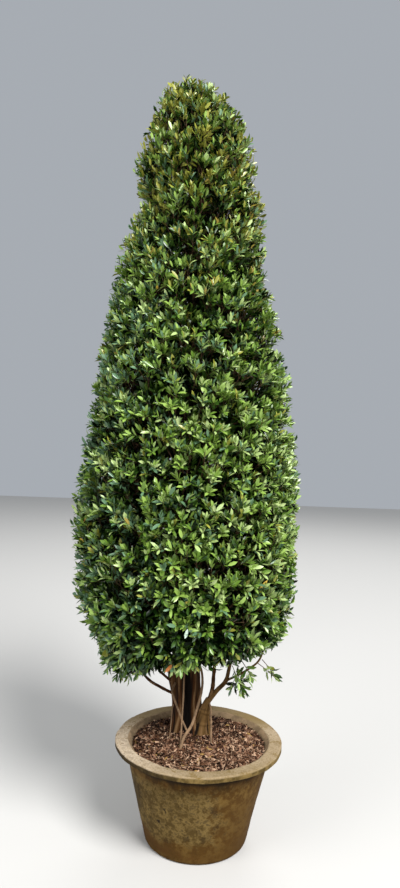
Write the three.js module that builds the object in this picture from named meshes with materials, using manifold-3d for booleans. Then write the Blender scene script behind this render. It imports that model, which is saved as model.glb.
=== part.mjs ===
// A clipped ficus cone growing in a hand-cast cement pot. The plant is a short fluted trunk with a side
// stem, low boughs and aerial roots, and one dense clipped crown. Millimetres, +Z up. The origin is the
// centre of the pot's flat underside, and -Y is the side that faces the viewer.
import * as THREE from "three";
import { mergeVertices } from "three/addons/utils/BufferGeometryUtils.js";
import Module from "manifold-3d";

const wasm = await Module();
wasm.setup();

// Driving dimensions
const GAP = 0.3; // clearance between two pieces that touch
const SEED = 20417;
const TURN = 2 * Math.PI;
const GOLDEN_ANGLE = TURN * 0.381966;
const UP = new THREE.Vector3(0, 0, 1);

const POT = {
  height: 360,
  rimRadius: 305,
  rimWidth: 46,
  rimDrop: 20,
  rimRound: 6,
  lipDrop: 8,
  footRadius: 185,
  footRound: 12,
  wallSlope: 0.24,
  wall: 27,
  floor: 38,
  sides: 36,
};
const FILL = { edgeHeight: 335, topHeight: 358, topRadius: 175, moundRise: 3, wallGap: 2 * GAP };
const TRUNK = {
  foot: new THREE.Vector2(-43, 70),
  leanX: -42,
  leanY: -12,
  leanHeight: 900,
  footRadius: 50,
  flare: 13,
  flareHeight: 42,
  ribFade: 700,
  toeFade: 60,
  taperPower: 0.9,
  ringPower: 1.8,
  tipRadius: 5,
  tipHeight: 2500,
  sides: 24,
  rings: 26,
};
const CROWN = {
  bottom: 640,
  top: 2812,
  bellyRadius: 418,
  wave: 0.018,
  undersideTilt: 26,
  cornerDrop: 45,
  cornerAngle: 180,
  cornerWidth: 45,
  tiltFade: 9,
  tipLean: 36,
  tipLeanFrom: 2580,
  tipLeanSpan: 240,
  coreInset: 58,
  coreSides: 20,
  coreRings: 15,
  samples: 240,
};
const TWIG = { radius: 4.4, tipShare: 0.7, forkRadius: 0.7, forkLength: 0.9, forkAt: 0.4, forkSpread: 1.3 };
const LEAF = {
  slimness: 2.25,
  flatness: 36,
  widest: 0.44,
  droop: 0.1,
  sizeSpread: 0.15,
  roll: 0.3,
  firstSeat: 0.45,
  lastSeat: 0.93,
  sunk: 0.2,
  tries: 6,
  retryTurn: 0.5,
  retryShrink: 0.05,
};
const CROWN_TWIGS = {
  seats: 84,
  length: 34,
  sunk: 10,
  leaves: 5,
  leafLength: 128,
  forks: 0,
  outward: 0.4,
  upward: 0.3,
  stray: 0.25,
};
const LOW_SPRAY_TWIGS = { length: 46, sunk: 0, leaves: 4, leafLength: 66, forks: 2, outward: 0.7 };

const MATERIALS = {
  cement: new THREE.MeshStandardMaterial({ color: 0x9a8662, roughness: 0.9, metalness: 0 }),
  litter: new THREE.MeshStandardMaterial({ color: 0x6b4f3c, roughness: 1, metalness: 0 }),
  bark: new THREE.MeshStandardMaterial({ color: 0x5b4430, roughness: 0.85, metalness: 0 }),
  root: new THREE.MeshStandardMaterial({ color: 0x9c8263, roughness: 0.8, metalness: 0 }),
  leaf: new THREE.MeshStandardMaterial({ color: 0x3f6b2a, roughness: 0.45, metalness: 0 }),
};

// Small helpers

// A repeatable random number from 0 to 1.
function randomFrom(seed) {
  let state = seed;
  return () => {
    state = (state + 0x6d2b79f5) | 0;
    let mixed = Math.imul(state ^ (state >>> 15), 1 | state);
    mixed = (mixed + Math.imul(mixed ^ (mixed >>> 7), 61 | mixed)) ^ mixed;
    return ((mixed ^ (mixed >>> 14)) >>> 0) / 4294967296;
  };
}

function solidFrom(geometry) {
  const bare = geometry.clone();
  bare.deleteAttribute("normal");
  bare.deleteAttribute("uv");
  const merged = mergeVertices(bare, 1e-3);
  return new wasm.Manifold(
    new wasm.Mesh({
      numProp: 3,
      vertProperties: new Float32Array(merged.attributes.position.array),
      triVerts: new Uint32Array(merged.index.array),
    }),
  );
}

function geometryFrom(solid) {
  const mesh = solid.getMesh();
  const geometry = new THREE.BufferGeometry();
  geometry.setAttribute("position", new THREE.BufferAttribute(mesh.vertProperties, 3));
  geometry.setIndex(new THREE.BufferAttribute(mesh.triVerts, 1));
  geometry.computeVertexNormals();
  return geometry;
}

// The largest separate body, which leaves out loose scraps and the inner wall of a sealed hollow.
function largestBody(solid) {
  return solid.decompose().reduce((best, body) => (body.volume() > best.volume() ? body : best));
}

// A profile of [radius, height] points turned round the Z axis.
function turned(points, sides) {
  const profile = points.map(([radius, height]) => new THREE.Vector2(radius, height));
  return new THREE.LatheGeometry(profile, sides).rotateX(Math.PI / 2);
}

// Moves every vertex of a geometry to where place(x, y, z) says.
function reshape(geometry, place) {
  const position = geometry.attributes.position;
  for (let i = 0; i < position.count; i++) {
    const moved = place(position.getX(i), position.getY(i), position.getZ(i));
    position.setXYZ(i, moved.x, moved.y, moved.z);
  }
  return geometry;
}

// A smooth bump of height 1 around an angle, with the given half width, both in degrees.
function bump(angle, at, halfWidth) {
  const off = angle - THREE.MathUtils.degToRad(at);
  const wrapped = Math.atan2(Math.sin(off), Math.cos(off));
  return Math.exp(-((wrapped / THREE.MathUtils.degToRad(halfWidth)) ** 2));
}

// Pot and its fill

function potOuterRadius(height) {
  return POT.footRadius + POT.wallSlope * height;
}

function potInnerRadius(height) {
  return potOuterRadius(height) - POT.wall;
}

function potGeometry() {
  const { height, rimRadius, rimWidth, rimDrop, rimRound, lipDrop, footRound, floor } = POT;
  const rimFoot = height - rimDrop;
  const lip = rimRadius - rimWidth;
  const wallTop = rimFoot - lipDrop;
  const outer = [0.12, 0.3, 0.55, 0.8].map((share) => [potOuterRadius(share * height), share * height]);
  const inner = [0.75, 0.45, 0.2].map((share) => [potInnerRadius(share * height), share * height]);
  return turned(
    [
      [0, 0],
      [potOuterRadius(0) - footRound, 0],
      [potOuterRadius(footRound), footRound],
      ...outer,
      [potOuterRadius(rimFoot), rimFoot],
      [rimRadius - rimRound, rimFoot],
      [rimRadius, rimFoot + rimRound],
      [rimRadius, height - rimRound],
      [rimRadius - rimRound, height],
      [lip + rimRound, height],
      [lip, height - rimRound],
      [potInnerRadius(wallTop), wallTop],
      ...inner,
      [potInnerRadius(floor), floor],
      [0, floor],
    ],
    POT.sides,
  );
}

// The inner wall between its lip and the top of its slope is straight, so the fill follows that line.
function fillGeometry(grow = 0) {
  const { height, rimRadius, rimWidth, rimDrop, rimRound, lipDrop, floor } = POT;
  const wallTop = height - rimDrop - lipDrop;
  const lipFoot = height - rimRound;
  const lip = rimRadius - rimWidth;
  const share = (FILL.edgeHeight - wallTop) / (lipFoot - wallTop);
  const edgeRadius = THREE.MathUtils.lerp(potInnerRadius(wallTop), lip, share);
  const side = [0.2, 0.45, 0.75].map((part) => [potInnerRadius(part * height) - FILL.wallGap, part * height]);
  return turned(
    [
      [0, floor + GAP],
      [potInnerRadius(floor) - FILL.wallGap, floor + GAP],
      ...side,
      [potInnerRadius(wallTop) - FILL.wallGap, wallTop],
      [edgeRadius - FILL.wallGap, FILL.edgeHeight],
      [(edgeRadius + FILL.topRadius) / 2, (FILL.edgeHeight + FILL.topHeight) / 2 + FILL.moundRise + grow],
      [FILL.topRadius, FILL.topHeight + grow],
      [0, FILL.topHeight + grow],
    ],
    POT.sides,
  );
}

// Trunk and limbs

// How far the trunk and the crown have leaned from the trunk's foot, at a height.
function plantAxis(height) {
  const share = 1 - Math.exp(-(height - FILL.topHeight) / TRUNK.leanHeight);
  return new THREE.Vector2(TRUNK.foot.x + TRUNK.leanX * share, TRUNK.foot.y + TRUNK.leanY * share);
}

// Fused stems show as ribs round the trunk, and clefts lie between them, the deepest at the front.
// Each is [angle, half width in degrees, share of the trunk's radius].
const TRUNK_RIBS = [
  [38, 26, 0.12],
  [104, 28, 0.14],
  [186, 22, 0.1],
  [226, 15, 0.13],
  [250, 8, -0.12],
  [273, 13, -0.34],
  [306, 18, 0.15],
  [342, 20, 0.14],
];

// Where the left boughs fork off, the trunk's side swells out.
const COLLAR = { height: 570, span: 75, angle: 182, halfWidth: 22, share: 0.46 };

// How far the trunk's side stands out at an angle. The ribs fade upwards, and root toes spread at the foot.
function trunkSwell(angle, above) {
  const ribs = TRUNK_RIBS.reduce((sum, [at, width, share]) => sum + share * bump(angle, at, width), 0);
  const toes = 0.12 * Math.cos(5 * angle + 0.6) + 0.07 * Math.cos(9 * angle);
  const rise = Math.exp(-(((above + FILL.topHeight - COLLAR.height) / COLLAR.span) ** 2));
  const collar = COLLAR.share * rise * bump(angle, COLLAR.angle, COLLAR.halfWidth);
  return 1 + ribs * Math.exp(-above / TRUNK.ribFade) + toes * Math.exp(-above / TRUNK.toeFade) + collar;
}

function trunkRadius(height) {
  const above = height - FILL.topHeight;
  const share = THREE.MathUtils.clamp(above / (TRUNK.tipHeight - FILL.topHeight), 0, 1);
  const taper = TRUNK.tipRadius + (TRUNK.footRadius - TRUNK.tipRadius) * (1 - share) ** TRUNK.taperPower;
  return taper + TRUNK.flare * Math.exp(-above / TRUNK.flareHeight);
}

function trunkGeometry(grow = 0) {
  const foot = FILL.topHeight + GAP - grow;
  const profile = [[0, foot]];
  for (let i = 0; i <= TRUNK.rings; i++) {
    const height = foot + (TRUNK.tipHeight + grow - foot) * (i / TRUNK.rings) ** TRUNK.ringPower;
    profile.push([trunkRadius(height), height]);
  }
  profile.push([0, TRUNK.tipHeight + grow]);
  return reshape(turned(profile, TRUNK.sides), (x, y, z) => {
    const angle = Math.atan2(y, x);
    const radius = Math.hypot(x, y);
    const reach = radius ? radius * trunkSwell(angle, z - FILL.topHeight) + grow : 0;
    const axis = plantAxis(z);
    return new THREE.Vector3(axis.x + reach * Math.cos(angle), axis.y + reach * Math.sin(angle), z);
  });
}

function limbCurve({ points }) {
  return new THREE.CatmullRomCurve3(points.map((point) => new THREE.Vector3(...point)));
}

// A round limb whose radius runs from thick to thin, laid along a smooth curve through its points.
function limbGeometry(limb, grow = 0) {
  const { thick, thin, sides, steps } = limb;
  const curve = limbCurve(limb);
  const frames = curve.computeFrenetFrames(steps);
  const profile = [new THREE.Vector2(0, 0)];
  for (let i = 0; i <= steps; i++) {
    profile.push(new THREE.Vector2(THREE.MathUtils.lerp(thick, thin, i / steps) + grow, i / steps));
  }
  profile.push(new THREE.Vector2(0, 1));
  return reshape(new THREE.LatheGeometry(profile, sides), (x, y, z) => {
    const step = Math.round(y * steps);
    const place = curve.getPointAt(y).addScaledVector(frames.normals[step], x);
    return place.addScaledVector(frames.binormals[step], -z);
  });
}

// A limb that meets the soil is drawn down to this height and cut flat at the surface.
const FOOT_DEPTH = FILL.topHeight - 14;

// Each limb starts inside what carries it and is cut clear of it there. A bough runs on into the crown,
// where the crown's core cuts it off.
const LIMBS = [
  {
    name: "side_stem",
    material: MATERIALS.bark,
    points: [[6, 38, FOOT_DEPTH], [8, 38, 390], [16, 39, 430], [26, 41, 464], [35, 42, 492]],
    thick: 45,
    thin: 9,
    sides: 9,
    steps: 6,
    on: ["trunk"],
  },
  {
    name: "bough_side_upright",
    material: MATERIALS.bark,
    points: [
      [34, 43, 478],
      [42, 43, 500],
      [47, 43, 524],
      [49, 44, 562],
      [51, 46, 612],
      [50, 48, 680],
      [40, 52, 760],
    ],
    thick: 8.5,
    thin: 3.5,
    sides: 7,
    steps: 9,
    on: ["side_stem"],
  },
  {
    name: "bough_side_outer",
    material: MATERIALS.bark,
    points: [[36, 42, 480], [64, 39, 520], [94, 34, 556], [108, 36, 612], [118, 40, 670], [124, 46, 760]],
    thick: 9,
    thin: 4,
    sides: 7,
    steps: 9,
    on: ["side_stem", "bough_side_upright"],
  },
  {
    name: "bough_right_low",
    material: MATERIALS.bark,
    points: [[94, 34, 558], [128, 26, 578], [172, 14, 608], [214, 6, 648], [238, 4, 730]],
    thick: 4.5,
    thin: 3,
    sides: 6,
    steps: 8,
    on: ["bough_side_outer"],
  },
  {
    name: "bough_low_spur",
    material: MATERIALS.bark,
    points: [[122, 27, 574], [132, 18, 578], [143, 9, 573]],
    thick: 3.2,
    thin: 2.8,
    sides: 6,
    steps: 4,
    on: ["bough_right_low"],
  },
  {
    name: "bough_left",
    material: MATERIALS.bark,
    points: [
      [-92, 56, 494],
      [-122, 47, 509],
      [-152, 44, 525],
      [-190, 41, 547],
      [-228, 39, 592],
      [-250, 40, 650],
      [-262, 42, 760],
    ],
    thick: 5.5,
    thin: 4,
    sides: 7,
    steps: 10,
    on: ["trunk"],
  },
  {
    name: "bough_left_inner",
    material: MATERIALS.bark,
    points: [
      [-96, 58, 534],
      [-121, 48, 554],
      [-152, 44, 583],
      [-178, 46, 614],
      [-196, 52, 668],
      [-206, 58, 760],
    ],
    thick: 5,
    thin: 3.8,
    sides: 7,
    steps: 9,
    on: ["trunk", "bough_left"],
  },
  {
    name: "aerial_root_front",
    material: MATERIALS.root,
    points: [
      [-26, 45, 664],
      [-10, 36, 625],
      [4, 28, 590],
      [8, 18, 548],
      [1, -6, 506],
      [-12, -29, 465],
      [-27, -56, 425],
      [-45, -76, 403],
      [-58, -94, 383],
      [-67, -112, FOOT_DEPTH],
    ],
    thick: 4,
    thin: 5.5,
    sides: 7,
    steps: 16,
    on: ["trunk"],
  },
  {
    name: "aerial_root_crossing",
    material: MATERIALS.root,
    points: [
      [-90, 46, 546],
      [-103, 14, 521],
      [-95, -2, 501],
      [-79, -26, 471],
      [-62, -50, 441],
      [-42, -72, 409],
    ],
    thick: 4.2,
    thin: 3.4,
    sides: 6,
    steps: 9,
    on: ["trunk", "aerial_root_front"],
  },
  {
    name: "aerial_root_hanging",
    material: MATERIALS.root,
    points: [
      [-56, 34, 676],
      [-58, -8, 660],
      [-60, -40, 600],
      [-60, -64, 522],
      [-62, -73, 470],
      [-63, -78, 420],
      [-65, -82, FOOT_DEPTH],
    ],
    thick: 2.8,
    thin: 3.2,
    sides: 6,
    steps: 10,
    on: ["trunk"],
  },
  {
    name: "aerial_root_right",
    material: MATERIALS.root,
    points: [[34, 38, 478], [42, 10, 462], [44, -10, 430], [45, -40, 390], [45, -62, FOOT_DEPTH]],
    thick: 3.2,
    thin: 3.6,
    sides: 6,
    steps: 7,
    on: ["side_stem", "bough_side_upright", "bough_side_outer"],
  },
  {
    name: "aerial_root_left",
    material: MATERIALS.root,
    points: [[-88, 62, 480], [-100, 42, 450], [-102, 26, 420], [-104, -4, 388], [-107, -48, FOOT_DEPTH]],
    thick: 2.2,
    thin: 1.8,
    sides: 6,
    steps: 7,
    on: ["trunk"],
  },
];

// Foliage

// A leaf of eight faces along +X, widest at a share of its length, with its tip drooping.
function leafGeometry(length) {
  return reshape(new THREE.OctahedronGeometry(1), (x, y, z) => {
    const along = y || z ? LEAF.widest : (x + 1) / 2;
    const droop = -LEAF.droop * length * along * along;
    const halfWidth = length / LEAF.slimness / 2;
    return new THREE.Vector3(along * length, y * halfWidth, (z * length) / LEAF.flatness / 2 + droop);
  });
}

// Turns a shape made along +X into a direction, with its upper face turned towards a second direction,
// then rolled about its own length.
function facing(direction, upward, roll = 0) {
  const across = upward.clone().cross(direction).normalize();
  const upper = direction.clone().cross(across);
  const basis = new THREE.Matrix4().makeBasis(direction, across, upper);
  return basis.multiply(new THREE.Matrix4().makeRotationX(roll));
}

// The sideways direction at an angle round a twig.
function sideways(way, angle) {
  return new THREE.Vector3(0, Math.cos(angle), Math.sin(angle)).applyMatrix4(facing(way, UP));
}

// A three-sided twig from start, sunk back into what carries it.
function twigGeometry(start, way, length, radius, sunk) {
  const twig = new THREE.CylinderGeometry(radius * TWIG.tipShare, radius, length + sunk, 3);
  twig.rotateZ(-Math.PI / 2).translate((length - sunk) / 2, 0, 0);
  return twig.applyMatrix4(facing(way, UP)).translate(start.x, start.y, start.z);
}

// The space that one mass keeps to. It is bounded by inside(point), and nothing in it may touch a limb
// or another twig or leaf, apart from its own carrier. Leaves also stay off the core.
class Space {
  constructor(inside, limbs, core = null) {
    this.inside = inside;
    this.limbs = limbs;
    this.core = core;
    this.taken = [];
  }

  // Adds a part if there is room for it, and returns it with its box, or null.
  take(geometry, carrier, offCore) {
    const position = geometry.attributes.position;
    const point = new THREE.Vector3();
    for (let i = 0; i < position.count; i++) {
      if (!this.inside(point.fromBufferAttribute(position, i))) return null;
    }
    geometry.computeBoundingBox();
    const part = { box: geometry.boundingBox, solid: solidFrom(geometry) };
    const near = this.taken.filter((other) => other !== carrier && other.box.intersectsBox(part.box));
    const blockers = [this.limbs, ...near.map((other) => other.solid)];
    if (offCore && this.core) blockers.push(this.core);
    if (blockers.some((blocker) => !blocker.intersect(part.solid).isEmpty())) return null;
    this.taken.push(part);
    return part;
  }
}

// One twig, its side shoots by the same rule, and then its own leaves set round it. Whatever does not fit
// the space is skipped. A leaf first gets a few tries at other angles, lying closer each time.
function growTwig(space, start, way, length, level, rule, random, carrier = null) {
  const radius = TWIG.radius * (carrier ? TWIG.forkRadius : 1);
  const twig = space.take(twigGeometry(start, way, length, radius, carrier ? 0 : rule.sunk), carrier, false);
  if (!twig) return;
  const turn = random() * TURN;
  for (let i = 0; level > 0 && i < rule.forks; i++) {
    const side = sideways(way, turn + Math.PI + (i * TURN) / rule.forks);
    const forkWay = side.multiplyScalar(TWIG.forkSpread).add(way).normalize();
    const forkStart = start.clone().addScaledVector(way, length * (TWIG.forkAt + 0.2 * i));
    growTwig(space, forkStart, forkWay, length * TWIG.forkLength, level - 1, rule, random, twig);
  }
  for (let i = 0; i < rule.leaves; i++) {
    const share = THREE.MathUtils.lerp(LEAF.firstSeat, LEAF.lastSeat, i / (rule.leaves - 1));
    const seat = start.clone().addScaledVector(way, length * share);
    for (let attempt = 0; attempt < LEAF.tries; attempt++) {
      const lift = rule.outward * (1 - (1.3 * attempt) / LEAF.tries);
      const side = sideways(way, turn + i * GOLDEN_ANGLE + attempt * LEAF.retryTurn);
      const leafWay = side.addScaledVector(way, lift).normalize();
      const size = 1 + LEAF.sizeSpread * (2 * random() - 1) - attempt * LEAF.retryShrink;
      const roll = LEAF.roll * (2 * random() - 1);
      const leaf = leafGeometry(rule.leafLength * size).applyMatrix4(facing(leafWay, way, roll));
      const root = seat.clone().addScaledVector(leafWay, -radius * LEAF.sunk);
      if (space.take(leaf.translate(root.x, root.y, root.z), twig, true)) break;
    }
  }
}

// Crown

// The clipped outline from the trunk, under the crown and up its side to the tip, as
// [share of the crown's height, share of the belly's radius].
const CROWN_OUTLINE = [
  [0.03, 0.2],
  [0.004, 0.42],
  [0.012, 0.67],
  [0.042, 0.82],
  [0.101, 0.94],
  [0.212, 0.995],
  [0.303, 0.965],
  [0.404, 0.9],
  [0.505, 0.825],
  [0.626, 0.705],
  [0.768, 0.58],
  [0.85, 0.52],
  [0.9, 0.455],
  [0.945, 0.355],
  [0.978, 0.24],
  [0.996, 0.1],
  [1, 0.02],
];
const outlineCurve = new THREE.SplineCurve(CROWN_OUTLINE.map((point) => new THREE.Vector2(...point)));

// A point of the outline's section, as radius and height, moved inwards by an inset. At the ends of the
// curve the inset stops at the axis.
function crownSection(share, inset) {
  const [point, way] = [outlineCurve.getPoint(share), outlineCurve.getTangent(share)];
  const depth = CROWN.top - CROWN.bottom;
  const along = new THREE.Vector2(way.y * CROWN.bellyRadius, way.x * depth).normalize();
  const radius = point.y * CROWN.bellyRadius - along.y * inset;
  return { radius: Math.max(radius, 0.5), height: CROWN.bottom + point.x * depth + along.x * inset, along };
}

// Hollows and swellings of the outline, each as [height, half height, angle, half width in degrees, share of
// the radius]. The deepest hollow is high up on the left.
const CROWN_SWELLS = [
  [666, 50, 185, 38, 0.03],
  [735, 45, 182, 45, -0.085],
  [742, 55, -8, 38, 0.065],
  [1795, 28, 0, 30, -0.09],
  [2096, 75, 0, 45, -0.07],
  [2311, 55, 0, 40, 0.09],
  [2318, 95, 180, 60, -0.2],
  [2620, 40, 180, 50, -0.07],
];

// The waves that hand clipping leaves round the crown, and its hollows and swellings.
function crownWave(height, angle) {
  const slow = Math.sin(3 * angle + height / 210);
  const quick = 0.8 * Math.sin(5 * angle - height / 150);
  const wave = slow + quick + 0.5 * Math.cos(height / 70);
  const swell = CROWN_SWELLS.reduce((sum, [middle, half, at, width, share]) => {
    const rise = Math.exp(-(((height - middle) / half) ** 2));
    return sum + share * rise * bump(angle, at, width);
  }, 0);
  return 1 + CROWN.wave * wave + swell;
}

// The crown follows the plant's axis, and its tip leans further left.
function crownAxis(height) {
  const above = THREE.MathUtils.clamp((height - CROWN.tipLeanFrom) / CROWN.tipLeanSpan, 0, 1.2);
  const axis = plantAxis(height);
  axis.x -= CROWN.tipLean * above * above;
  return axis;
}

// The crown hangs lower on its left, and a corner of it there lower still. This lift fades upwards.
function undersideLift(height, angle) {
  const above = Math.max(0, (height - CROWN.bottom) / (CROWN.top - CROWN.bottom));
  const corner = CROWN.cornerDrop * bump(angle, CROWN.cornerAngle, CROWN.cornerWidth);
  return (CROWN.undersideTilt * Math.cos(angle) - corner) * Math.exp(-above * CROWN.tiltFade);
}

// A section's point turned to an angle, with the lift, the waves and the lean.
function crownPlace({ radius, height }, angle) {
  const lifted = height + undersideLift(height, angle);
  const reach = radius * crownWave(height, angle);
  const axis = crownAxis(lifted);
  return new THREE.Vector3(axis.x + reach * Math.cos(angle), axis.y + reach * Math.sin(angle), lifted);
}

const outlineSamples = Array.from({ length: CROWN.samples + 1 }, (_, i) =>
  crownSection(i / CROWN.samples, 0),
);

// True where a point is inside the clipped outline.
function insideCrown(point) {
  const axis = crownAxis(point.z);
  const [x, y] = [point.x - axis.x, point.y - axis.y];
  const angle = Math.atan2(y, x);
  const height = point.z - undersideLift(point.z, angle);
  const radius = Math.hypot(x, y) / crownWave(height, angle);
  let inside = false;
  for (let i = 1; i < outlineSamples.length; i++) {
    const [low, high] = [outlineSamples[i - 1], outlineSamples[i]];
    if (low.height > height === high.height > height) continue;
    const between = (height - low.height) / (high.height - low.height);
    if (THREE.MathUtils.lerp(low.radius, high.radius, between) > radius) inside = !inside;
  }
  return inside;
}

function coreGeometry(grow = 0) {
  const inset = CROWN.coreInset - grow;
  const sections = Array.from({ length: CROWN.coreRings + 1 }, (_, i) =>
    crownSection(i / CROWN.coreRings, inset),
  );
  const [foot, tip] = [sections[0], sections[CROWN.coreRings]];
  const profile = sections.map((section) => [section.radius, section.height]);
  return reshape(turned([[0, foot.height], ...profile, [0, tip.height]], CROWN.coreSides), (x, y, z) =>
    crownPlace({ radius: Math.hypot(x, y), height: z }, Math.atan2(y, x)),
  );
}

// Where the twigs leave the core, and the outward way there. They are spread evenly by area along a
// golden spiral, and one more stands at the tip.
function crownSeats() {
  const areas = [0];
  for (let i = 0; i < CROWN.samples; i++) {
    const [low, high] = [outlineSamples[i], outlineSamples[i + 1]];
    const slant = Math.hypot(high.radius - low.radius, high.height - low.height);
    areas.push(areas[i] + slant * (low.radius + high.radius));
  }
  const seats = [];
  for (let i = 0; i < CROWN_TWIGS.seats; i++) {
    const wanted = ((i + 0.5) / CROWN_TWIGS.seats) * areas[CROWN.samples];
    const share = (areas.findIndex((area) => area >= wanted) - 0.5) / CROWN.samples;
    const section = crownSection(share, CROWN.coreInset);
    const angle = i * GOLDEN_ANGLE;
    const { along } = section;
    const outward = new THREE.Vector3(along.y * Math.cos(angle), along.y * Math.sin(angle), -along.x);
    seats.push({ place: crownPlace(section, angle), outward });
  }
  const tip = crownSection(1, CROWN.coreInset);
  seats.push({ place: crownPlace({ radius: 0, height: tip.height }, 0), outward: UP });
  return seats;
}

// Low sprays

// Loose sprays under the crown, each on from its bough's tip.
const LOW_SPRAYS = [{ name: "low_spray_right", bough: "bough_low_spur" }];

// Assembly

const solids = {};
const grown = {};
const materials = {};

function keep(name, solid, wider, material) {
  solids[name] = largestBody(solid);
  grown[name] = wider;
  materials[name] = material;
}

keep("pot", solidFrom(potGeometry()), null, MATERIALS.cement);
keep("soil_fill", solidFrom(fillGeometry()), solidFrom(fillGeometry(GAP)), MATERIALS.litter);
keep("trunk", solidFrom(trunkGeometry()), solidFrom(trunkGeometry(GAP)), MATERIALS.bark);

const grownCore = solidFrom(coreGeometry(GAP));
for (const limb of LIMBS) {
  const cut = ["soil_fill", ...limb.on].reduce(
    (solid, carrier) => solid.subtract(grown[carrier]),
    solidFrom(limbGeometry(limb)).subtract(grownCore),
  );
  keep(limb.name, cut, solidFrom(limbGeometry(limb, GAP)), limb.material);
}

const limbs = Object.values(grown)
  .filter((solid) => solid)
  .reduce((all, solid) => all.add(solid));
const random = randomFrom(SEED);
const core = solidFrom(coreGeometry());
const crownSpace = new Space(insideCrown, limbs, core);
for (const { place, outward } of crownSeats()) {
  const stray = new THREE.Vector3(2 * random() - 1, 2 * random() - 1, 2 * random() - 1);
  const way = outward.clone().addScaledVector(stray, CROWN_TWIGS.stray);
  way.addScaledVector(UP, CROWN_TWIGS.upward).normalize();
  growTwig(crownSpace, place, way, CROWN_TWIGS.length, 1, CROWN_TWIGS, random);
}
const crown = crownSpace.taken.reduce((all, part) => all.add(part.solid), core.subtract(grown.trunk));
keep("crown", crown, null, MATERIALS.leaf);

for (const { name, bough } of LOW_SPRAYS) {
  const curve = limbCurve(LIMBS.find((limb) => limb.name === bough));
  const way = curve.getTangentAt(1);
  const start = curve.getPointAt(1).addScaledVector(way, GAP);
  const space = new Space(() => true, limbs.add(solids.crown));
  growTwig(space, start, way, LOW_SPRAY_TWIGS.length, 1, LOW_SPRAY_TWIGS, random);
  const spray = space.taken.reduce((all, part) => (all ? all.add(part.solid) : part.solid), null);
  keep(name, spray, null, MATERIALS.leaf);
}

const group = new THREE.Group();
for (const [name, solid] of Object.entries(solids)) {
  const mesh = new THREE.Mesh(geometryFrom(solid), materials[name]);
  mesh.name = name;
  group.add(mesh);
}

export default group;
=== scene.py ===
"""A clipped ficus cone in a hand-cast cement pot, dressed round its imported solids.

Metres, +Z up, the origin under the centre of the pot, and -Y towards the viewer. The pot, the soil, the
trunk and the limbs are detailed meshes over their solids. The crown is grown by the rule of the part's
source, carried on to finer twigs: boughs from the trunk, sprays from the boughs, side shoots and leaves.
"""

import math

import bmesh
import bpy
import numpy as np
from bpy.props import FloatProperty, FloatVectorProperty, IntProperty, PointerProperty
from bpy.types import Operator, Panel, PropertyGroup
from mathutils import Matrix, Vector, noise


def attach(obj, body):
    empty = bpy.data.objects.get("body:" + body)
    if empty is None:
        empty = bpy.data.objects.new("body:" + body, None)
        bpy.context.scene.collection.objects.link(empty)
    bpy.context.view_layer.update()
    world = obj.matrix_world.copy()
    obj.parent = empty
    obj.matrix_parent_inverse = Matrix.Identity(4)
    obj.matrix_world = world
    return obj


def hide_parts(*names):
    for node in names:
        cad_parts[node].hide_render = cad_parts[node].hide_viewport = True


bl_info = {
    "name": "Ficus cone topiary",
    "version": (1, 0, 0),
    "blender": (4, 5, 0),
    "location": "View3D > Sidebar > Topiary",
    "description": "Dresses the packed cone topiary: pot, litter, bark, aerial roots and leafy crown",
    "category": "Object",
}

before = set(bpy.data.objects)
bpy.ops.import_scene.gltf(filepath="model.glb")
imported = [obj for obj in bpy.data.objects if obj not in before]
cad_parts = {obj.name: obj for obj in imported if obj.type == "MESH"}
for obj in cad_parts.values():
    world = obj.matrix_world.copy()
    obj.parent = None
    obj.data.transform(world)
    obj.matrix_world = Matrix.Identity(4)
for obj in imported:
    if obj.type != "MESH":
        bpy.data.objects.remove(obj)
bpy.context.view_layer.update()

MM = 0.001
TURN = 2 * math.pi
GOLDEN_ANGLE = TURN * 0.381966

# The photograph's frame, and its focal length in its own pixels
PHOTO_HEIGHT_PX = 888
PHOTO_FOCAL_PX = 668


def srgb(red, green, blue):
    """A linear colour from the 0 to 255 values that a colour picker shows."""
    shares = [value / 255 for value in (red, green, blue)]
    return tuple(s / 12.92 if s <= 0.04045 else ((s + 0.055) / 1.055) ** 2.4 for s in shares)


def length(name, description, default):
    """A length setting."""
    return FloatProperty(name=name, description=description, default=default, min=0, unit="LENGTH")


def tint(name, description, default):
    """A colour setting."""
    return FloatVectorProperty(
        name=name, description=description, default=default, size=3, subtype="COLOR", min=0, max=1
    )


# Settings


class PotSettings(PropertyGroup):
    height: length("Height", "Height of the pot from the ground to the top of its rim", 0.360)
    rim_radius: length("Rim radius", "Outer radius of the rim", 0.305)
    rim_width: length("Rim width", "Width of the flat top of the rim", 0.046)
    rim_drop: length("Rim drop", "Height of the rim's outer band", 0.020)
    foot_radius: length("Foot radius", "Outer radius where the wall meets the ground", 0.185)
    foot_round: length("Foot round", "Radius of the rounded bottom edge", 0.012)
    wall: length("Wall", "Thickness of the wall", 0.027)
    floor: length("Floor", "Thickness of the floor", 0.038)
    wobble: length("Wobble", "How far the hand-cast wall strays from round", 0.0028)
    rim_tint: tint("Rim", "Pale washed cement on top of the rim", srgb(178, 161, 139))
    wall_tint: tint("Wall", "Ochre cement of the wall", srgb(71, 47, 9))
    pale_tint: tint("Worn cement", "Paler, worn patches", srgb(101, 77, 35))
    # Growth, lichen, stain and dirt tones also paint shade on the rim's band and top and under the rim
    algae_and_shade_tint: tint("Growth", "Dark olive growth on the wall", srgb(72, 57, 25))
    lichen_and_shade_tint: tint("Lichen", "Pale grey-olive growth on the wall", srgb(113, 93, 53))
    bore_tint: tint("Inner wall", "Brown cement inside the rim", srgb(152, 128, 98))
    rust_and_shade_tint: tint("Stain", "Brown stain near the foot and under the rim", srgb(72, 41, 9))
    soot_and_shade_tint: tint("Dirt", "Dark dirt in the pits and drips", srgb(32, 22, 9))


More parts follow.
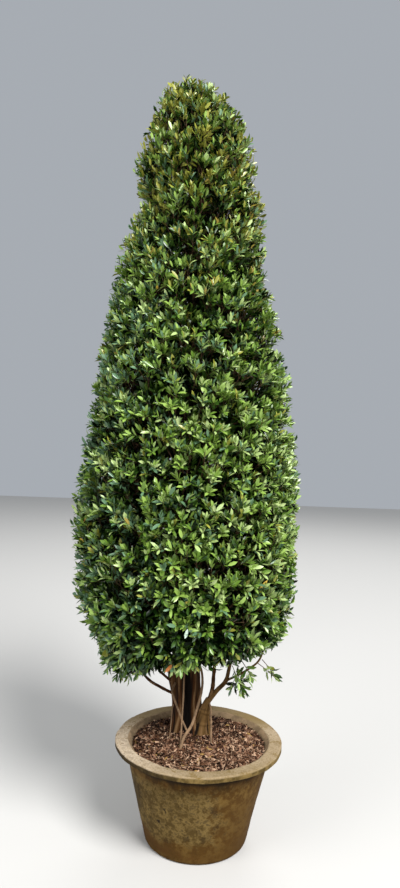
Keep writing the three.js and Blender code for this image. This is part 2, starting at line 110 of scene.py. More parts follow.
class SoilSettings(PropertyGroup):
    edge_height: length("Edge height", "Height of the soil at the wall of the pot", 0.335)
    top_height: length("Top height", "Height of the soil round the trunk", 0.358)
    top_radius: length("Top radius", "Radius of the level soil round the trunk", 0.175)
    chips: IntProperty(name="Chips", description="Pieces of dry litter", default=12500, min=0)
    chip_length: length("Chip length", "Length of a piece of litter", 0.021)
    soil_tint: tint("Soil", "Dark soil between the litter", srgb(30, 15, 8))


class LimbSettings(PropertyGroup):
    relief: length("Relief", "Depth of the bark's ridges", 0.0022)
    bark_tint: tint("Bark", "Reddish brown bark", srgb(70, 40, 15))
    # Painted shade deep in the bark's clefts; the same tone also darkens rings in the bark
    cleft_shade_and_ring_tint: tint("Clefts", "Dark bark deep in the clefts", srgb(9, 3, 0))
    ridge_tint: tint("Ridges", "Pale grey-brown on the ridges", srgb(116, 88, 58))
    moss_tint: tint("Moss", "Olive cast of the side stem", srgb(98, 72, 38))
    root_tint: tint("Roots", "Pale skin of the aerial roots", srgb(134, 107, 80))
    twig_tint: tint("Twigs", "Grey-brown twigs inside the crown", srgb(80, 61, 43))


class FoliageSettings(PropertyGroup):
    sprays: IntProperty(name="Sprays", description="Sprays of leaves in the crown", default=2820, min=1)
    boughs: IntProperty(name="Boughs", description="Boughs hidden in the crown", default=90, min=1)
    leaf_length: length("Leaf length", "Length of a full-grown leaf", 0.037)
    leaf_width: length("Leaf width", "Width of a full-grown leaf", 0.0125)
    sprig_reach: length("Sprig reach", "How far a leaf may pass the clipped outline", 0.022)


class StageSettings(PropertyGroup):
    distance: length("Camera distance", "From the pot's axis to the camera", 2.465)
    eye_height: length("Camera height", "Height of the camera above the ground", 1.44)
    eye_shift: FloatProperty(name="Camera shift", description="Camera's place across", default=-0.032)
    roll: FloatProperty(
        name="Roll", description="How far the camera leans", default=math.radians(2.0), subtype="ANGLE"
    )
    sky: FloatProperty(name="Sky", description="Strength of the light from all round", default=0.45, min=0)
    key: FloatProperty(name="Key", description="Power of the main soft light in watts", default=3100, min=0)
    fill: FloatProperty(name="Fill", description="Power of the fill light in watts", default=320, min=0)
    floor_tint: tint("Floor", "Plain pale floor", (0.50, 0.49, 0.47))


class TopiarySettings(PropertyGroup):
    pot: PointerProperty(type=PotSettings)
    soil: PointerProperty(type=SoilSettings)
    limbs: PointerProperty(type=LimbSettings)
    foliage: PointerProperty(type=FoliageSettings)
    stage: PointerProperty(type=StageSettings)


# Shader expressions


def math_operator(operation, swapped=False):
    """One of Python's operators on shader values, as a Math node."""

    def add_node(self, other):
        values = (other, self) if swapped else (self, other)
        return self.finish.node("ShaderNodeMath", {"operation": operation}, dict(enumerate(values)))

    return add_node


class Wire:
    """A shader value. Python's operators on it add Math nodes."""

    __add__, __radd__ = math_operator("ADD"), math_operator("ADD", True)
    __sub__, __rsub__ = math_operator("SUBTRACT"), math_operator("SUBTRACT", True)
    __mul__, __rmul__ = math_operator("MULTIPLY"), math_operator("MULTIPLY", True)

    def __init__(self, finish, socket):
        self.finish = finish
        self.socket = socket


class Finish:
    """One material: a Principled surface and the nodes that feed it."""

    def __init__(self, name):
        self.material = bpy.data.materials.new(name)
        self.material.use_nodes = True
        self.tree = self.material.node_tree
        self.surface = self.tree.nodes["Principled BSDF"]

    def node(self, kind, settings=None, inputs=None, output=0):
        """Adds a node: its settings first, then the values or links of its sockets."""
        made = self.tree.nodes.new(kind)
        for key, value in (settings or {}).items():
            setattr(made, key, value)
        self.feed(made, inputs or {})
        return Wire(self, made.outputs[output])

    def feed(self, node, inputs):
        for key, value in inputs.items():
            if isinstance(value, Wire):
                self.tree.links.new(value.socket, node.inputs[key])
            else:
                node.inputs[key].default_value = value

    def place(self, stretch=None):
        """The piece's own Object coordinates, which can be stretched along the axes."""
        own = self.node("ShaderNodeTexCoord", output="Object")
        return self.node("ShaderNodeMapping", inputs={"Vector": own, "Scale": stretch}) if stretch else own

    def axis(self, name):
        return self.node("ShaderNodeSeparateXYZ", inputs={0: self.place()}, output=name)

    def grain(self, scale, detail=4.0, stretch=(1, 1, 1)):
        """Noise from 0 to 1 with about scale features a metre, stretched along the axes."""
        inputs = {"Vector": self.place(stretch), "Scale": scale, "Detail": detail, "Roughness": 0.6}
        return self.node("ShaderNodeTexNoise", inputs=inputs)

    def pits(self, scale):
        """Distance to scattered points, 0 at each point."""
        return self.node("ShaderNodeTexVoronoi", inputs={"Vector": self.place(), "Scale": scale})

    def band(self, value, low, high):
        """Rises smoothly from 0 at low to 1 at high."""
        inputs = {"Value": value, "From Min": low, "From Max": high}
        return self.node("ShaderNodeMapRange", {"interpolation_type": "SMOOTHSTEP"}, inputs)

    def mix(self, share, low, high):
        """A colour between two others."""
        inputs = {0: share, 6: self.colour(low), 7: self.colour(high)}
        return self.node("ShaderNodeMix", {"data_type": "RGBA"}, inputs, output=2)

    def colour(self, value):
        return value if isinstance(value, Wire) else (*value[:3], 1.0)

    def paint(self, base, *coats):
        """A base with coats over it, each a share and its colour."""
        for share, over in coats:
            base = self.mix(share, base, over)
        return base

    def bump(self, height, distance):
        return self.node("ShaderNodeBump", inputs={"Height": height, "Distance": distance, "Strength": 1.0})

    def shade(self, **sockets):
        """Sets the surface's sockets. An underscore in a name stands for a space."""
        inputs = {name.replace("_", " "): value for name, value in sockets.items()}
        if "Base Color" in inputs:
            inputs["Base Color"] = self.colour(inputs["Base Color"])
        self.feed(self.surface, inputs)
        return self.material


def shaded_tint(tone, share):
    """A darker shade of a colour."""
    return [share * part for part in tone]


def cement_finish(pot):
    """Weathered cement: a washed rim over an ochre wall with growth, drips, flecks and a brown foot, and
    painted shade on the rim and under it.
    """
    f = Finish("cement_weathered")
    across, deep, up = f.axis("X"), f.axis("Y"), f.axis("Z")
    radius = f.node("ShaderNodeVectorMath", {"operation": "LENGTH"}, {0: f.place((1, 1, 0))}, output="Value")
    broad, mottle, fine, speck = f.grain(6), f.grain(22, 5), f.grain(52, 4), f.grain(150, 3)
    drips = f.grain(24, 5, (1, 1, 0.10))
    pits = f.pits(95)
    grain = 0.45 * mottle + 0.40 * fine + 0.15 * speck
    patchy = mottle - 0.5
    rough_edge = speck - 0.5

    grown_side = f.band(across, 0.13, -0.05) * f.band(up, 0.04, 0.11) * f.band(up, 0.31, 0.26)
    growth = f.band(0.5 * broad + 0.5 * grain + 0.30 * grown_side, 0.56, 0.74)
    dapple = f.band(0.3 * mottle + 0.5 * fine + 0.2 * speck, 0.44, 0.56)
    flecks = f.band(0.8 * fine + 0.2 * speck, 0.55, 0.61) + 0.8 * f.band(f.grain(32, 5), 0.57, 0.64)
    foot_stain = f.band(up + 0.22 * across + 0.16 * patchy, 0.055, 0.015) * f.band(up, 0.012, 0.03)
    darker = 0.5 * f.band(across, 0.02, 0.17) * f.band(up, 0.27, 0.2) + 0.45 * f.band(up, 0.13, 0.02)
    flank_stain = f.band(across, -0.185, -0.205) * f.band(up, 0.09, 0.15) * f.band(up, 0.28, 0.22)
    wall = f.paint(
        pot.wall_tint,
        (f.band(grain, 0.43, 0.58), pot.pale_tint),
        (0.8 * growth, f.mix(dapple, pot.algae_and_shade_tint, pot.lichen_and_shade_tint)),
        (0.55 * flecks * f.band(broad + 0.4 * grown_side, 0.45, 0.75), pot.soot_and_shade_tint),
        (0.85 * foot_stain * f.band(grain, 0.44, 0.54), pot.rust_and_shade_tint),
        (darker * (0.5 + mottle), pot.wall_tint),
        (0.65 * flank_stain * f.band(mottle, 0.36, 0.5), pot.soot_and_shade_tint),
        (0.7 * f.band(up, 0.255, 0.33) * f.band(drips + 0.2 * fine, 0.56, 0.68), pot.soot_and_shade_tint),
        # Painted shadow of the rim: a mottled brown band on the wall under it, and a dark line right under
        # it that is painted shadow and partly a real stain
        (0.5 * f.band(up, 0.24, 0.32) * f.band(mottle, 0.45, 0.58), pot.rust_and_shade_tint),
        (0.92 * f.band(up + 0.02 * patchy, 0.316, 0.331), pot.soot_and_shade_tint),
    )

    # Painted shade: the rim's outer band is painted dark as shade from the light above, darker still towards
    # the left, with lichen over it
    band = f.paint(
        pot.algae_and_shade_tint,
        (f.band(grain, 0.42, 0.60), pot.lichen_and_shade_tint),
        (f.band(across + 0.2 * patchy, 0.02, -0.20) * 0.75, pot.soot_and_shade_tint),
    )
    # Painted shade on the rim's top, laid on in the lichen tone: the crown's shadow at the back and towards
    # the front right, and shade at the front edge and on the right
    rim_shade = f.band(deep, 0.02, 0.20) + 0.45 * f.band(across, -0.20, 0.02) * f.band(deep, 0.10, -0.05)
    rim_side_shade = 0.31 * f.band(deep, -0.16, -0.26) + 0.22 * f.band(across, 0.12, 0.26)
    washed = f.paint(
        pot.rim_tint,
        (f.band(0.6 * mottle + 0.4 * speck, 0.52, 0.66), pot.pale_tint),
        (0.4 * f.band(0.4 * fine + 0.6 * speck, 0.45, 0.60), pot.lichen_and_shade_tint),
        (0.34 * f.band(fine, 0.47, 0.40), pot.algae_and_shade_tint),
        (0.8 * rim_shade + rim_side_shade * (0.4 + 1.2 * mottle), pot.lichen_and_shade_tint),
    )
    rim = f.mix(f.band(up + 0.005 * rough_edge, 0.3525, 0.3575), band, washed)
    bore = f.paint(
        pot.bore_tint,
        (f.band(grain, 0.42, 0.6), shaded_tint(pot.bore_tint, 0.6)),
        (f.band(up + 0.01 * patchy, 0.345, 0.333), pot.soot_and_shade_tint),
    )
    colour = f.paint(
        wall,
        (f.band(up + 0.004 * rough_edge, 0.335, 0.341), rim),
        (f.band(radius + 0.5 * (up - 0.36), 0.2595, 0.2575) * f.band(up, 0.30, 0.32), bore),
        (0.7 * f.band(pits, 0.16, 0.04) * f.band(broad, 0.42, 0.6), pot.soot_and_shade_tint),
    )
    relief = 0.5 * mottle + 0.3 * fine + 0.3 * speck + 0.5 * f.band(pits, 0.0, 0.22)
    return f.shade(
        Base_Color=colour,
        Roughness=0.80 + 0.16 * mottle,
        Normal=f.bump(relief, 0.0024),
        Specular_IOR_Level=0.15,
    )


def soil_finish(soil):
    """Crumbly dark soil, seen between the litter."""
    f = Finish("soil_crumbs")
    crumbs = f.grain(160, 6)
    colour = f.mix(f.band(crumbs, 0.35, 0.7), shaded_tint(soil.soil_tint, 0.45), soil.soil_tint)
    return f.shade(Base_Color=colour, Roughness=0.96, Normal=f.bump(crumbs, 0.004), Specular_IOR_Level=0.1)


def bark_finish(name, limbs, main_tint, olive):
    """Bark with painted shade in its clefts and paler ridges, after the piece's own relief attribute."""
    f = Finish(name)
    relief = f.node("ShaderNodeAttribute", {"attribute_name": "relief"}, output="Fac")
    fibres = f.grain(60, 6, (1, 1, 0.10))
    patches = f.grain(14, 3, (1, 1, 0.4))
    rings = f.grain(70, 3, (0.25, 0.25, 1.6))
    colour = f.paint(
        main_tint,
        (f.band(patches, 0.4, 0.65) * olive, limbs.moss_tint),
        (f.band(relief + 0.5 * (fibres - 0.5), 0.50, 0.72), limbs.ridge_tint),
        # Painted shade deep in the clefts
        (f.band(relief + 0.45 * (fibres - 0.5), 0.44, 0.22), limbs.cleft_shade_and_ring_tint),
        (0.35 * f.band(rings, 0.6, 0.75), limbs.cleft_shade_and_ring_tint),
    )
    return f.shade(
        Base_Color=colour,
        Roughness=0.72 + 0.2 * patches,
        Normal=f.bump(0.8 * fibres + 0.3 * rings, 0.003),
        Specular_IOR_Level=0.15,
    )


def root_finish(limbs):
    """Pale, smooth skin of the aerial roots, with darker scuffs."""
    f = Finish("root_skin")
    scuffs = f.grain(45, 5, (1, 1, 0.5))
    fine = f.grain(260, 3, (1, 1, 0.4))
    scuffed = f.band(scuffs + 0.3 * fine, 0.55, 0.9)
    return f.shade(
        Base_Color=f.mix(scuffed, limbs.root_tint, shaded_tint(limbs.root_tint, 0.42)),
        Roughness=0.66 + 0.2 * scuffs,
        Normal=f.bump(fine, 0.0012),
        Specular_IOR_Level=0.2,
    )


def plain_finish(name, tone, roughness, gloss=0.15):
    """A plain tone, made once, for the floor, the twigs and each tone that is dealt to small shapes."""
    ready = bpy.data.materials.get(name)
    return ready or Finish(name).shade(Base_Color=tone, Roughness=roughness, Specular_IOR_Level=gloss)


# Meshes


def new_piece(name, mesh, finish, slot, *nodes):
    """Links a mesh as a piece of the root body that stands for some nodes."""
    mesh.materials.append(finish)
    piece = bpy.data.objects.new(name, mesh)
    bpy.context.scene.collection.objects.link(piece)
    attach(piece, "root")
    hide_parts(*nodes)
    return piece


def mesh_from(name, shape):
    """A smooth-shaded mesh from a bmesh, which is freed."""
    mesh = bpy.data.meshes.new(name)
    shape.to_mesh(mesh)
    shape.free()
    mesh.shade_smooth()
    return mesh


def joined_mesh(name, points, triangles):
    """A smooth-shaded mesh of many small shapes from arrays."""
    mesh = bpy.data.meshes.new(name)
    mesh.from_pydata(points, [], triangles)
    mesh.shade_smooth()
    return mesh


def spun(profile, steps):
    """A closed shape from [radius, height] points turned round the Z axis. It starts and ends there."""
    shape = bmesh.new()
    verts = [shape.verts.new((radius, 0, height)) for radius, height in profile]
    edges = [shape.edges.new(pair) for pair in zip(verts, verts[1:])]
    bmesh.ops.spin(
        shape, geom=verts + edges, cent=(0, 0, 0), axis=(0, 0, 1), angle=TURN, steps=steps, use_merge=True
    )
    bmesh.ops.remove_doubles(shape, verts=shape.verts, dist=1e-5)
    bmesh.ops.recalc_face_normals(shape, faces=shape.faces)
    return shape


def hills(place, size, seed=0.0):
    """Smooth noise from -1 to 1 whose hills are about size wide."""
    return noise.noise(Vector(place) / size + Vector((seed, seed, seed)))


def hilly(place, layers, level=0):
    """A level with layers of hills on it, each the hills' height, their width and a seed."""
    return sum((height * hills(place, width, seed) for height, width, seed in layers), level)


def unit(vectors):
    """The same directions with a length of 1."""
    return vectors / np.maximum(np.linalg.norm(vectors, axis=-1, keepdims=True), 1e-9)


def basis(way, up):
    """For each way, unit vectors along it, across it and towards its upper side."""
    along = unit(way)
    across = unit(np.cross(up, along))
    return along, across, np.cross(along, across)


def set_out(origins, shares, ways):
    """Copies of a small shape at origins. Each of its points is a share of each of three ways from there."""
    points = origins[:, None]
    for share, way in zip(shares, ways):
        points = points + share[..., None] * way[:, None]
    return points


def repeat_faces(triangles, count, stride):
    """The faces of one small shape, for count copies of its points."""
    return (triangles[None] + stride * np.arange(count)[:, None, None]).reshape(-1, 3)


def curve_between(start, end, leave, arrive, t):
    """Points of a cubic curve that leaves its start and arrives at its end with given speeds."""
    bend = (3 * (end - start) - 2 * leave - arrive) * t**2
    return start + leave * t + bend + (2 * (start - end) + leave + arrive) * t**3


def add_dealt(prefix, points, tones, triangles, tone_names, finish, slot, node):
    """Adds a piece for each tone, of the small shapes that it was dealt to."""
    for index, tone in enumerate(tone_names):
        own = points[tones == index]
        if len(own):
            name = f"{prefix}_{tone}"
            faces = repeat_faces(triangles, len(own), points.shape[1])
            new_piece(name, joined_mesh(name, own.reshape(-1, 3), faces), finish(tone), slot, node)


# Pot and soil

POT_STEPS = 160
# How much the wall widens with height, and where its bore begins under the rim's foot
WALL_FLARE = 0.24
BORE_DROP = 0.008
# The radius of the hollow under the rim, and of the rim's outer and inner edges
RIM_HOLLOW = 0.007
RIM_EDGE = 0.004
LIP_EDGE = 0.005
# Finer unevenness of the hand-cast wall, as layers of hills
WALL_HILLS = [(0.0011, 0.045, 7), (0.0005, 0.014, 3)]
# The rim's waves at its side and on top, and how deep chips go into its side, its edge and its top
SIDE_WAVE = [(0.0016, 0.06, 5)]
TOP_WAVE = [(0.0022, 0.09, 9)]
SIDE_CHIP = 0.010
EDGE_CHIP = 0.006
TOP_CHIP = 0.002
# The width of the edge along the rim's outer radius
EDGE_WIDTH = 0.012


def wall_radius(pot, height):
    """The outer radius of the wall at a height."""
    return pot.foot_radius + WALL_FLARE * height


def rounded(corner, before, after, radius, steps=4):
    """Points of a rounded corner of a profile."""
    corner, before, after = Vector(corner), Vector(before), Vector(after)
    start = corner + (before - corner).normalized() * radius
    end = corner + (after - corner).normalized() * radius
    shares = [step / steps for step in range(steps + 1)]
    return [tuple(start * (1 - s) ** 2 + corner * 2 * s * (1 - s) + end * s * s) for s in shares]


def pot_profile(pot):
    """The pot's section from under the foot, up the wall, round the rim and down the bore."""
    rim_foot = pot.height - pot.rim_drop
    lip = pot.rim_radius - pot.rim_width
    under = (wall_radius(pot, rim_foot), rim_foot)
    corners = [under, (pot.rim_radius, rim_foot), (pot.rim_radius, pot.height), (lip, pot.height)]
    inside = (wall_radius(pot, rim_foot) - pot.wall, rim_foot - BORE_DROP)
    wall = np.linspace(pot.foot_round, rim_foot, 26)[:-1]
    bore = np.linspace(rim_foot - BORE_DROP, pot.floor, 10)
    foot = (wall_radius(pot, 0), 0)
    points = [(0, 0), (0.5 * foot[0], 0)]
    points += rounded(foot, (0, 0), (wall_radius(pot, 0.03), 0.03), pot.foot_round)
    points += [(wall_radius(pot, z), z) for z in wall[1:]]
    points += rounded(under, (wall_radius(pot, 0.3), 0.3), corners[1], RIM_HOLLOW, 3)
    points += rounded(corners[1], under, corners[2], RIM_EDGE)
    points += [(pot.rim_radius, pot.height - pot.rim_drop / 2)]
    points += rounded(corners[2], corners[1], corners[3], RIM_EDGE)
    points += [(lip + share * pot.rim_width, pot.height) for share in (0.72, 0.5, 0.28)]
    points += rounded(corners[3], corners[2], inside, LIP_EDGE)
    points += [(wall_radius(pot, z) - pot.wall, z) for z in bore]
    return points + [(0, pot.floor)]


def pot_shape(pot):
    """The spun pot, with a hand-cast wobble, a worn rim with chips, and a pitted wall."""
    shape = spun(pot_profile(pot), POT_STEPS)
    rim_foot = pot.height - pot.rim_drop
    for vert in shape.verts:
        place = vert.co.copy()
        radius = math.hypot(place.x, place.y)
        if radius < 0.1:
            continue
        out = Vector((place.x, place.y, 0)) / radius
        stray = hilly(place, [(pot.wobble, 0.22, 0), *WALL_HILLS])
        if place.z > rim_foot - 0.002:
            chip = max(0.0, hills(place, 0.03, 11) - 0.35)
            stray += hilly(place, SIDE_WAVE) - SIDE_CHIP * chip
            outer = radius > pot.rim_radius - EDGE_WIDTH
            vert.co.z += hilly(place, TOP_WAVE) - (EDGE_CHIP if outer else TOP_CHIP) * chip
        vert.co += out * stray * min(1, place.z / 0.02)
    return shape


SOIL_STEPS = 120
# The play between the soil and the wall, and how far the soil and the litter reach in the bore
SOIL_PLAY = 0.0012
SOIL_REACH = 0.241
LITTER_REACH = 0.2405
# The soil's unevenness, as layers of hills
SOIL_HILLS = [(0.0028, 0.05, 0), (0.0012, 0.018, 4)]
LITTER_SEED = 31
LITTER_ROUGHNESS = 0.88


def soil_height(soil, x, y):
    """The height of the soil's surface at a place."""
    radius = math.hypot(x, y)
    share = min(1, max(0, (radius - soil.top_radius) / (SOIL_REACH - soil.top_radius)))
    level = soil.top_height + (soil.edge_height - soil.top_height) * share * share * (3 - 2 * share)
    return hilly((x, y, 0), SOIL_HILLS, level)


def soil_shape(soil, pot):
    """The fill of the pot, with an uneven surface."""
    heights = np.linspace(pot.floor + 0.001, pot.height - pot.rim_drop - BORE_DROP, 8)
    walls = [(wall_radius(pot, z) - pot.wall - SOIL_PLAY, z) for z in heights]
    edge = (walls[-1][0] + 0.0025, soil.edge_height)
    surface = [(share * edge[0], soil.top_height) for share in np.linspace(1, 0, 60)[1:-1]]
    shape = spun([(0, walls[0][1]), *walls, edge, *surface, (0, soil.top_height)], SOIL_STEPS)
    for vert in shape.verts:
        if vert.co.z > soil.edge_height - 0.001:
            vert.co.z = soil_height(soil, vert.co.x, vert.co.y)
    return shape


CHIP_TONES = {
    "pink": srgb(124, 92, 71),
    "brown": srgb(86, 57, 38),
    "umber": srgb(50, 28, 15),
    "pale": srgb(168, 138, 112),
    "dark": srgb(27, 12, 6),
    "straw": srgb(146, 116, 66),
}
# The chance of each tone at the darker left and back, where the crown's shadow is painted, and at the paler,
# lit front and right
CHIP_SHARES = np.array([[0.17, 0.25, 0.26, 0.07, 0.24, 0.01], [0.33, 0.24, 0.12, 0.21, 0.08, 0.02]])

# A curled strip: three pairs of points along it
CHIP_POINTS = np.array(
    [[-1, -0.5, 0.1], [-1, 0.5, 0.1], [0, -1, -0.1], [0, 1, -0.1], [1, -0.35, 0.1], [1, 0.35, 0.1]]
)
CHIP_TRIANGLES = np.array([[0, 2, 3], [0, 3, 1], [2, 4, 5], [2, 5, 3]])


def chip_finish(tone):
    """Dry, dull litter of one tone."""
    return plain_finish(f"litter_{tone}", CHIP_TONES[tone], LITTER_ROUGHNESS)


def litter_arrays(soil):
    """Curled chips and bits of dry leaf, lying at all angles on the soil, and the tone dealt to each."""
    rng = np.random.default_rng(LITTER_SEED)
    count = soil.chips
    radius = LITTER_REACH * np.sqrt(rng.uniform(0, 1, count))
    angle = rng.uniform(0, TURN, count)
    x, y = radius * np.cos(angle), radius * np.sin(angle)
    z = np.array([soil_height(soil, *place) for place in zip(x, y)]) + rng.uniform(0.0005, 0.0065, count)
    way = np.column_stack([rng.normal(size=(count, 2)), rng.normal(0, 0.32, count)])
    up = np.column_stack([rng.normal(0, 0.45, (count, 2)), np.ones(count)])
    along, across, upper = basis(way, up)
    half_length = soil.chip_length / 2 * rng.uniform(0.35, 1.25, count)
    half_width = half_length * rng.uniform(0.16, 0.46, count)
    curl = half_length * rng.uniform(-1.5, 1.5, count)
    ways = (along * half_length[:, None], across * half_width[:, None], upper * curl[:, None])
    points = set_out(np.column_stack([x, y, z]), CHIP_POINTS.T[:, None], ways)
    # Painted shadow of the crown: paler tones towards the lit front and right, darker ones to the left and
    # back
    light = np.clip(0.45 + (0.5 * x - y) / 0.3, 0, 1)[:, None]
    shares = np.cumsum(CHIP_SHARES[0] * (1 - light) + CHIP_SHARES[1] * light, axis=1)
    tones = (shares[:, :-1] < rng.uniform(0, 1, (count, 1))).sum(axis=1)
    return points, tones


# Trunk and limbs, as the part's source has them, in millimetres

TRUNK_FOOT = (-43, 70)
TRUNK_LEAN = (-42, -12)
LEAN_HEIGHT = 900
SOIL_TOP = 358
TRUNK_TOP = 2500
TRUNK_STEPS = 150
TRUNK_RINGS = 170
# The radius at the tip, what it gains down to the foot, and the foot's flare and how high that reaches
TIP_RADIUS = 5
TRUNK_GAIN = 45
FOOT_FLARE = 13
FLARE_HEIGHT = 42
# Each rib is its angle and half width in degrees, and its height as a share of the radius
TRUNK_RIBS = [
    (38, 26, 0.12),
    (104, 28, 0.14),
    (186, 22, 0.10),
    (226, 15, 0.13),
    (250, 8, -0.12),
    (273, 13, -0.34),
    (306, 18, 0.15),
    (342, 20, 0.14),
]
# The swelling where the left boughs fork off: height, half height, angle, half width, share
COLLAR = (570, 75, 182, 22, 0.46)
FUSED_ROOTS = 17
FUSED_ROOT_HEIGHT = 5.5
# How high over the soil the toes, the ribs and the fused roots fade
TOE_FADE = 60
RIB_FADE = 700
FUSED_ROOT_FADE = 900

# A limb thicker than this has more sides and finer streaks
STOUT = 12
# Each limb is its thick and thin end's radius, its finish, and its route
LIMBS = {
    "side_stem": (45, 9, "olive", [(6, 38, 344), (8, 38, 390), (16, 39, 430), (26, 41, 464), (35, 42, 492)]),
    "bough_side_upright": (8.5, 3.5, "bark", [
        (34, 43, 478), (42, 43, 500), (47, 43, 524), (49, 44, 562), (51, 46, 612), (50, 48, 680),
        (40, 52, 760),
    ]),
    "bough_side_outer": (9, 4, "olive", [
        (36, 42, 480), (64, 39, 520), (94, 34, 556), (108, 36, 612), (118, 40, 670), (124, 46, 760),
    ]),
    "bough_right_low": (4.5, 3, "olive", [
        (94, 34, 558), (128, 26, 578), (172, 14, 608), (214, 6, 648), (238, 4, 730),
    ]),
    "bough_low_spur": (3.2, 2.8, "bark", [(122, 27, 574), (132, 18, 578), (143, 9, 573)]),
    "bough_left": (5.5, 4, "bark", [
        (-92, 56, 494), (-122, 47, 509), (-152, 44, 525), (-190, 41, 547), (-228, 39, 592), (-250, 40, 650),
        (-262, 42, 760),
    ]),
    "bough_left_inner": (5, 3.8, "bark", [
        (-96, 58, 534), (-121, 48, 554), (-152, 44, 583), (-178, 46, 614), (-196, 52, 668), (-206, 58, 760),
    ]),
    "aerial_root_front": (4, 5.5, "root", [
        (-26, 45, 664), (-10, 36, 625), (4, 28, 590), (8, 18, 548), (1, -6, 506), (-12, -29, 465),
        (-27, -56, 425), (-45, -76, 403), (-58, -94, 383), (-67, -112, 344),
    ]),
    "aerial_root_crossing": (4.2, 3.4, "root", [
        (-90, 46, 546), (-103, 14, 521), (-95, -2, 501), (-79, -26, 471), (-62, -50, 441), (-42, -72, 409),
    ]),
    "aerial_root_hanging": (2.8, 3.2, "root", [
        (-56, 34, 676), (-58, -8, 660), (-60, -40, 600), (-60, -64, 522), (-62, -73, 470), (-63, -78, 420),
        (-65, -82, 344),
    ]),
    "aerial_root_right": (3.2, 3.6, "root", [
        (34, 38, 478), (42, 10, 462), (44, -10, 430), (45, -40, 390), (45, -62, 344),
    ]),
    "aerial_root_left": (2.2, 1.8, "root", [
        (-88, 62, 480), (-100, 42, 450), (-102, 26, 420), (-104, -4, 388), (-107, -48, 344),
    ]),
}


def plant_axis(height):
    """Where the trunk's and the crown's axis is at a height, in millimetres."""
    share = 1 - np.exp(-(height - SOIL_TOP) / LEAN_HEIGHT)
    return TRUNK_FOOT[0] + TRUNK_LEAN[0] * share, TRUNK_FOOT[1] + TRUNK_LEAN[1] * share


def swell(angle, at, half_width):
    """A smooth rib of height 1 round an angle, both in degrees."""
    off = (math.degrees(angle) - at + 180) % 360 - 180
    return math.exp(-((off / half_width) ** 2))


def trunk_radius(height):
    """The trunk's radius without its ribs."""
    above = height - SOIL_TOP
    share = min(1, max(0, above / (TRUNK_TOP - SOIL_TOP)))
    return TIP_RADIUS + TRUNK_GAIN * (1 - share) ** 0.9 + FOOT_FLARE * math.exp(-above / FLARE_HEIGHT)


def trunk_relief(angle, height):
    """How far the trunk's side stands out, as the broad ribs and then the thin roots fused to them."""
    above = height - SOIL_TOP
    ribs = sum(share * swell(angle, at, width) for at, width, share in TRUNK_RIBS)
    toes = 0.12 * math.cos(5 * angle + 0.6) + 0.07 * math.cos(9 * angle)
    middle, half, at, width, share = COLLAR
    collar = share * math.exp(-(((height - middle) / half) ** 2)) * swell(angle, at, width)
    strands = 0
    for i in range(FUSED_ROOTS):
        wander = 7 * math.sin(above / (90 + 9 * (i % 5)) + 1.7 * i) + 3 * math.sin(above / 31 + i)
        at = i * 360 / FUSED_ROOTS + 12 * math.sin(2.3 * i) + wander
        strands = max(strands, (0.6 + 0.4 * math.sin(1.9 * i)) * swell(angle, at, 5.5 + i % 3))
    broad = ribs * math.exp(-above / RIB_FADE) + toes * math.exp(-above / TOE_FADE) + collar
    return broad, strands * math.exp(-above / FUSED_ROOT_FADE)


def trunk_shape(limbs):
    """The fluted trunk, from a flat cut at the soil to its tip, with a relief attribute."""
    foot = SOIL_TOP + 0.3
    heights = [foot + (TRUNK_TOP - foot) * (i / TRUNK_RINGS) ** 1.9 for i in range(TRUNK_RINGS + 1)]
    shape = spun([(0, foot), *((1, height) for height in heights), (0, TRUNK_TOP)], TRUNK_STEPS)
    relief = shape.verts.layers.float.new("relief")
    for vert in shape.verts:
        x, y, height = vert.co
        angle = math.atan2(y, x)
        broad, strands = trunk_relief(angle, height)
        fibre = hills((math.cos(angle) * 9, math.sin(angle) * 9, height / 160), 1)
        knots = hills((math.cos(angle) * 2, math.sin(angle) * 2, height / 45), 1, 5)
        reach = 0 if math.hypot(x, y) < 0.5 else trunk_radius(height) * (1 + broad)
        bark = FUSED_ROOT_HEIGHT * strands + limbs.relief / MM * (fibre + 0.6 * knots)
        reach += bark * (reach > 0) * min(1, reach / 30)
        axis = plant_axis(height)
        vert.co = Vector((axis[0] + reach * math.cos(angle), axis[1] + reach * math.sin(angle), height)) * MM
        vert[relief] = 0.40 + 1.1 * min(broad, 0.12) + 0.55 * (strands**1.5 - 0.3) + 0.22 * fibre
    return shape


def route_through(points, count):
    """Points spaced evenly along a centripetal curve through the given ones, in metres."""
    points = np.array(points, float) * MM
    padded = np.vstack([2 * points[0] - points[1], points, 2 * points[-1] - points[-2]])
    samples = []
    for p0, p1, p2, p3 in zip(padded, padded[1:], padded[2:], padded[3:]):
        gaps = [np.linalg.norm(b - a) ** 0.5 for a, b in ((p0, p1), (p1, p2), (p2, p3))]
        leave = ((p1 - p0) / gaps[0] - (p2 - p0) / (gaps[0] + gaps[1]) + (p2 - p1) / gaps[1]) * gaps[1]
        arrive = ((p2 - p1) / gaps[1] - (p3 - p1) / (gaps[1] + gaps[2]) + (p3 - p2) / gaps[2]) * gaps[1]
        t = np.linspace(0, 1, 30, endpoint=False)[:, None]
        samples.append(curve_between(p1, p2, leave, arrive, t))
    samples = np.vstack([*samples, points[-1:]])
    run = np.concatenate([[0], np.cumsum(np.linalg.norm(np.diff(samples, axis=0), axis=1))])
    even = np.linspace(0, run[-1], count)
    return np.column_stack([np.interp(even, run, samples[:, k]) for k in range(3)])


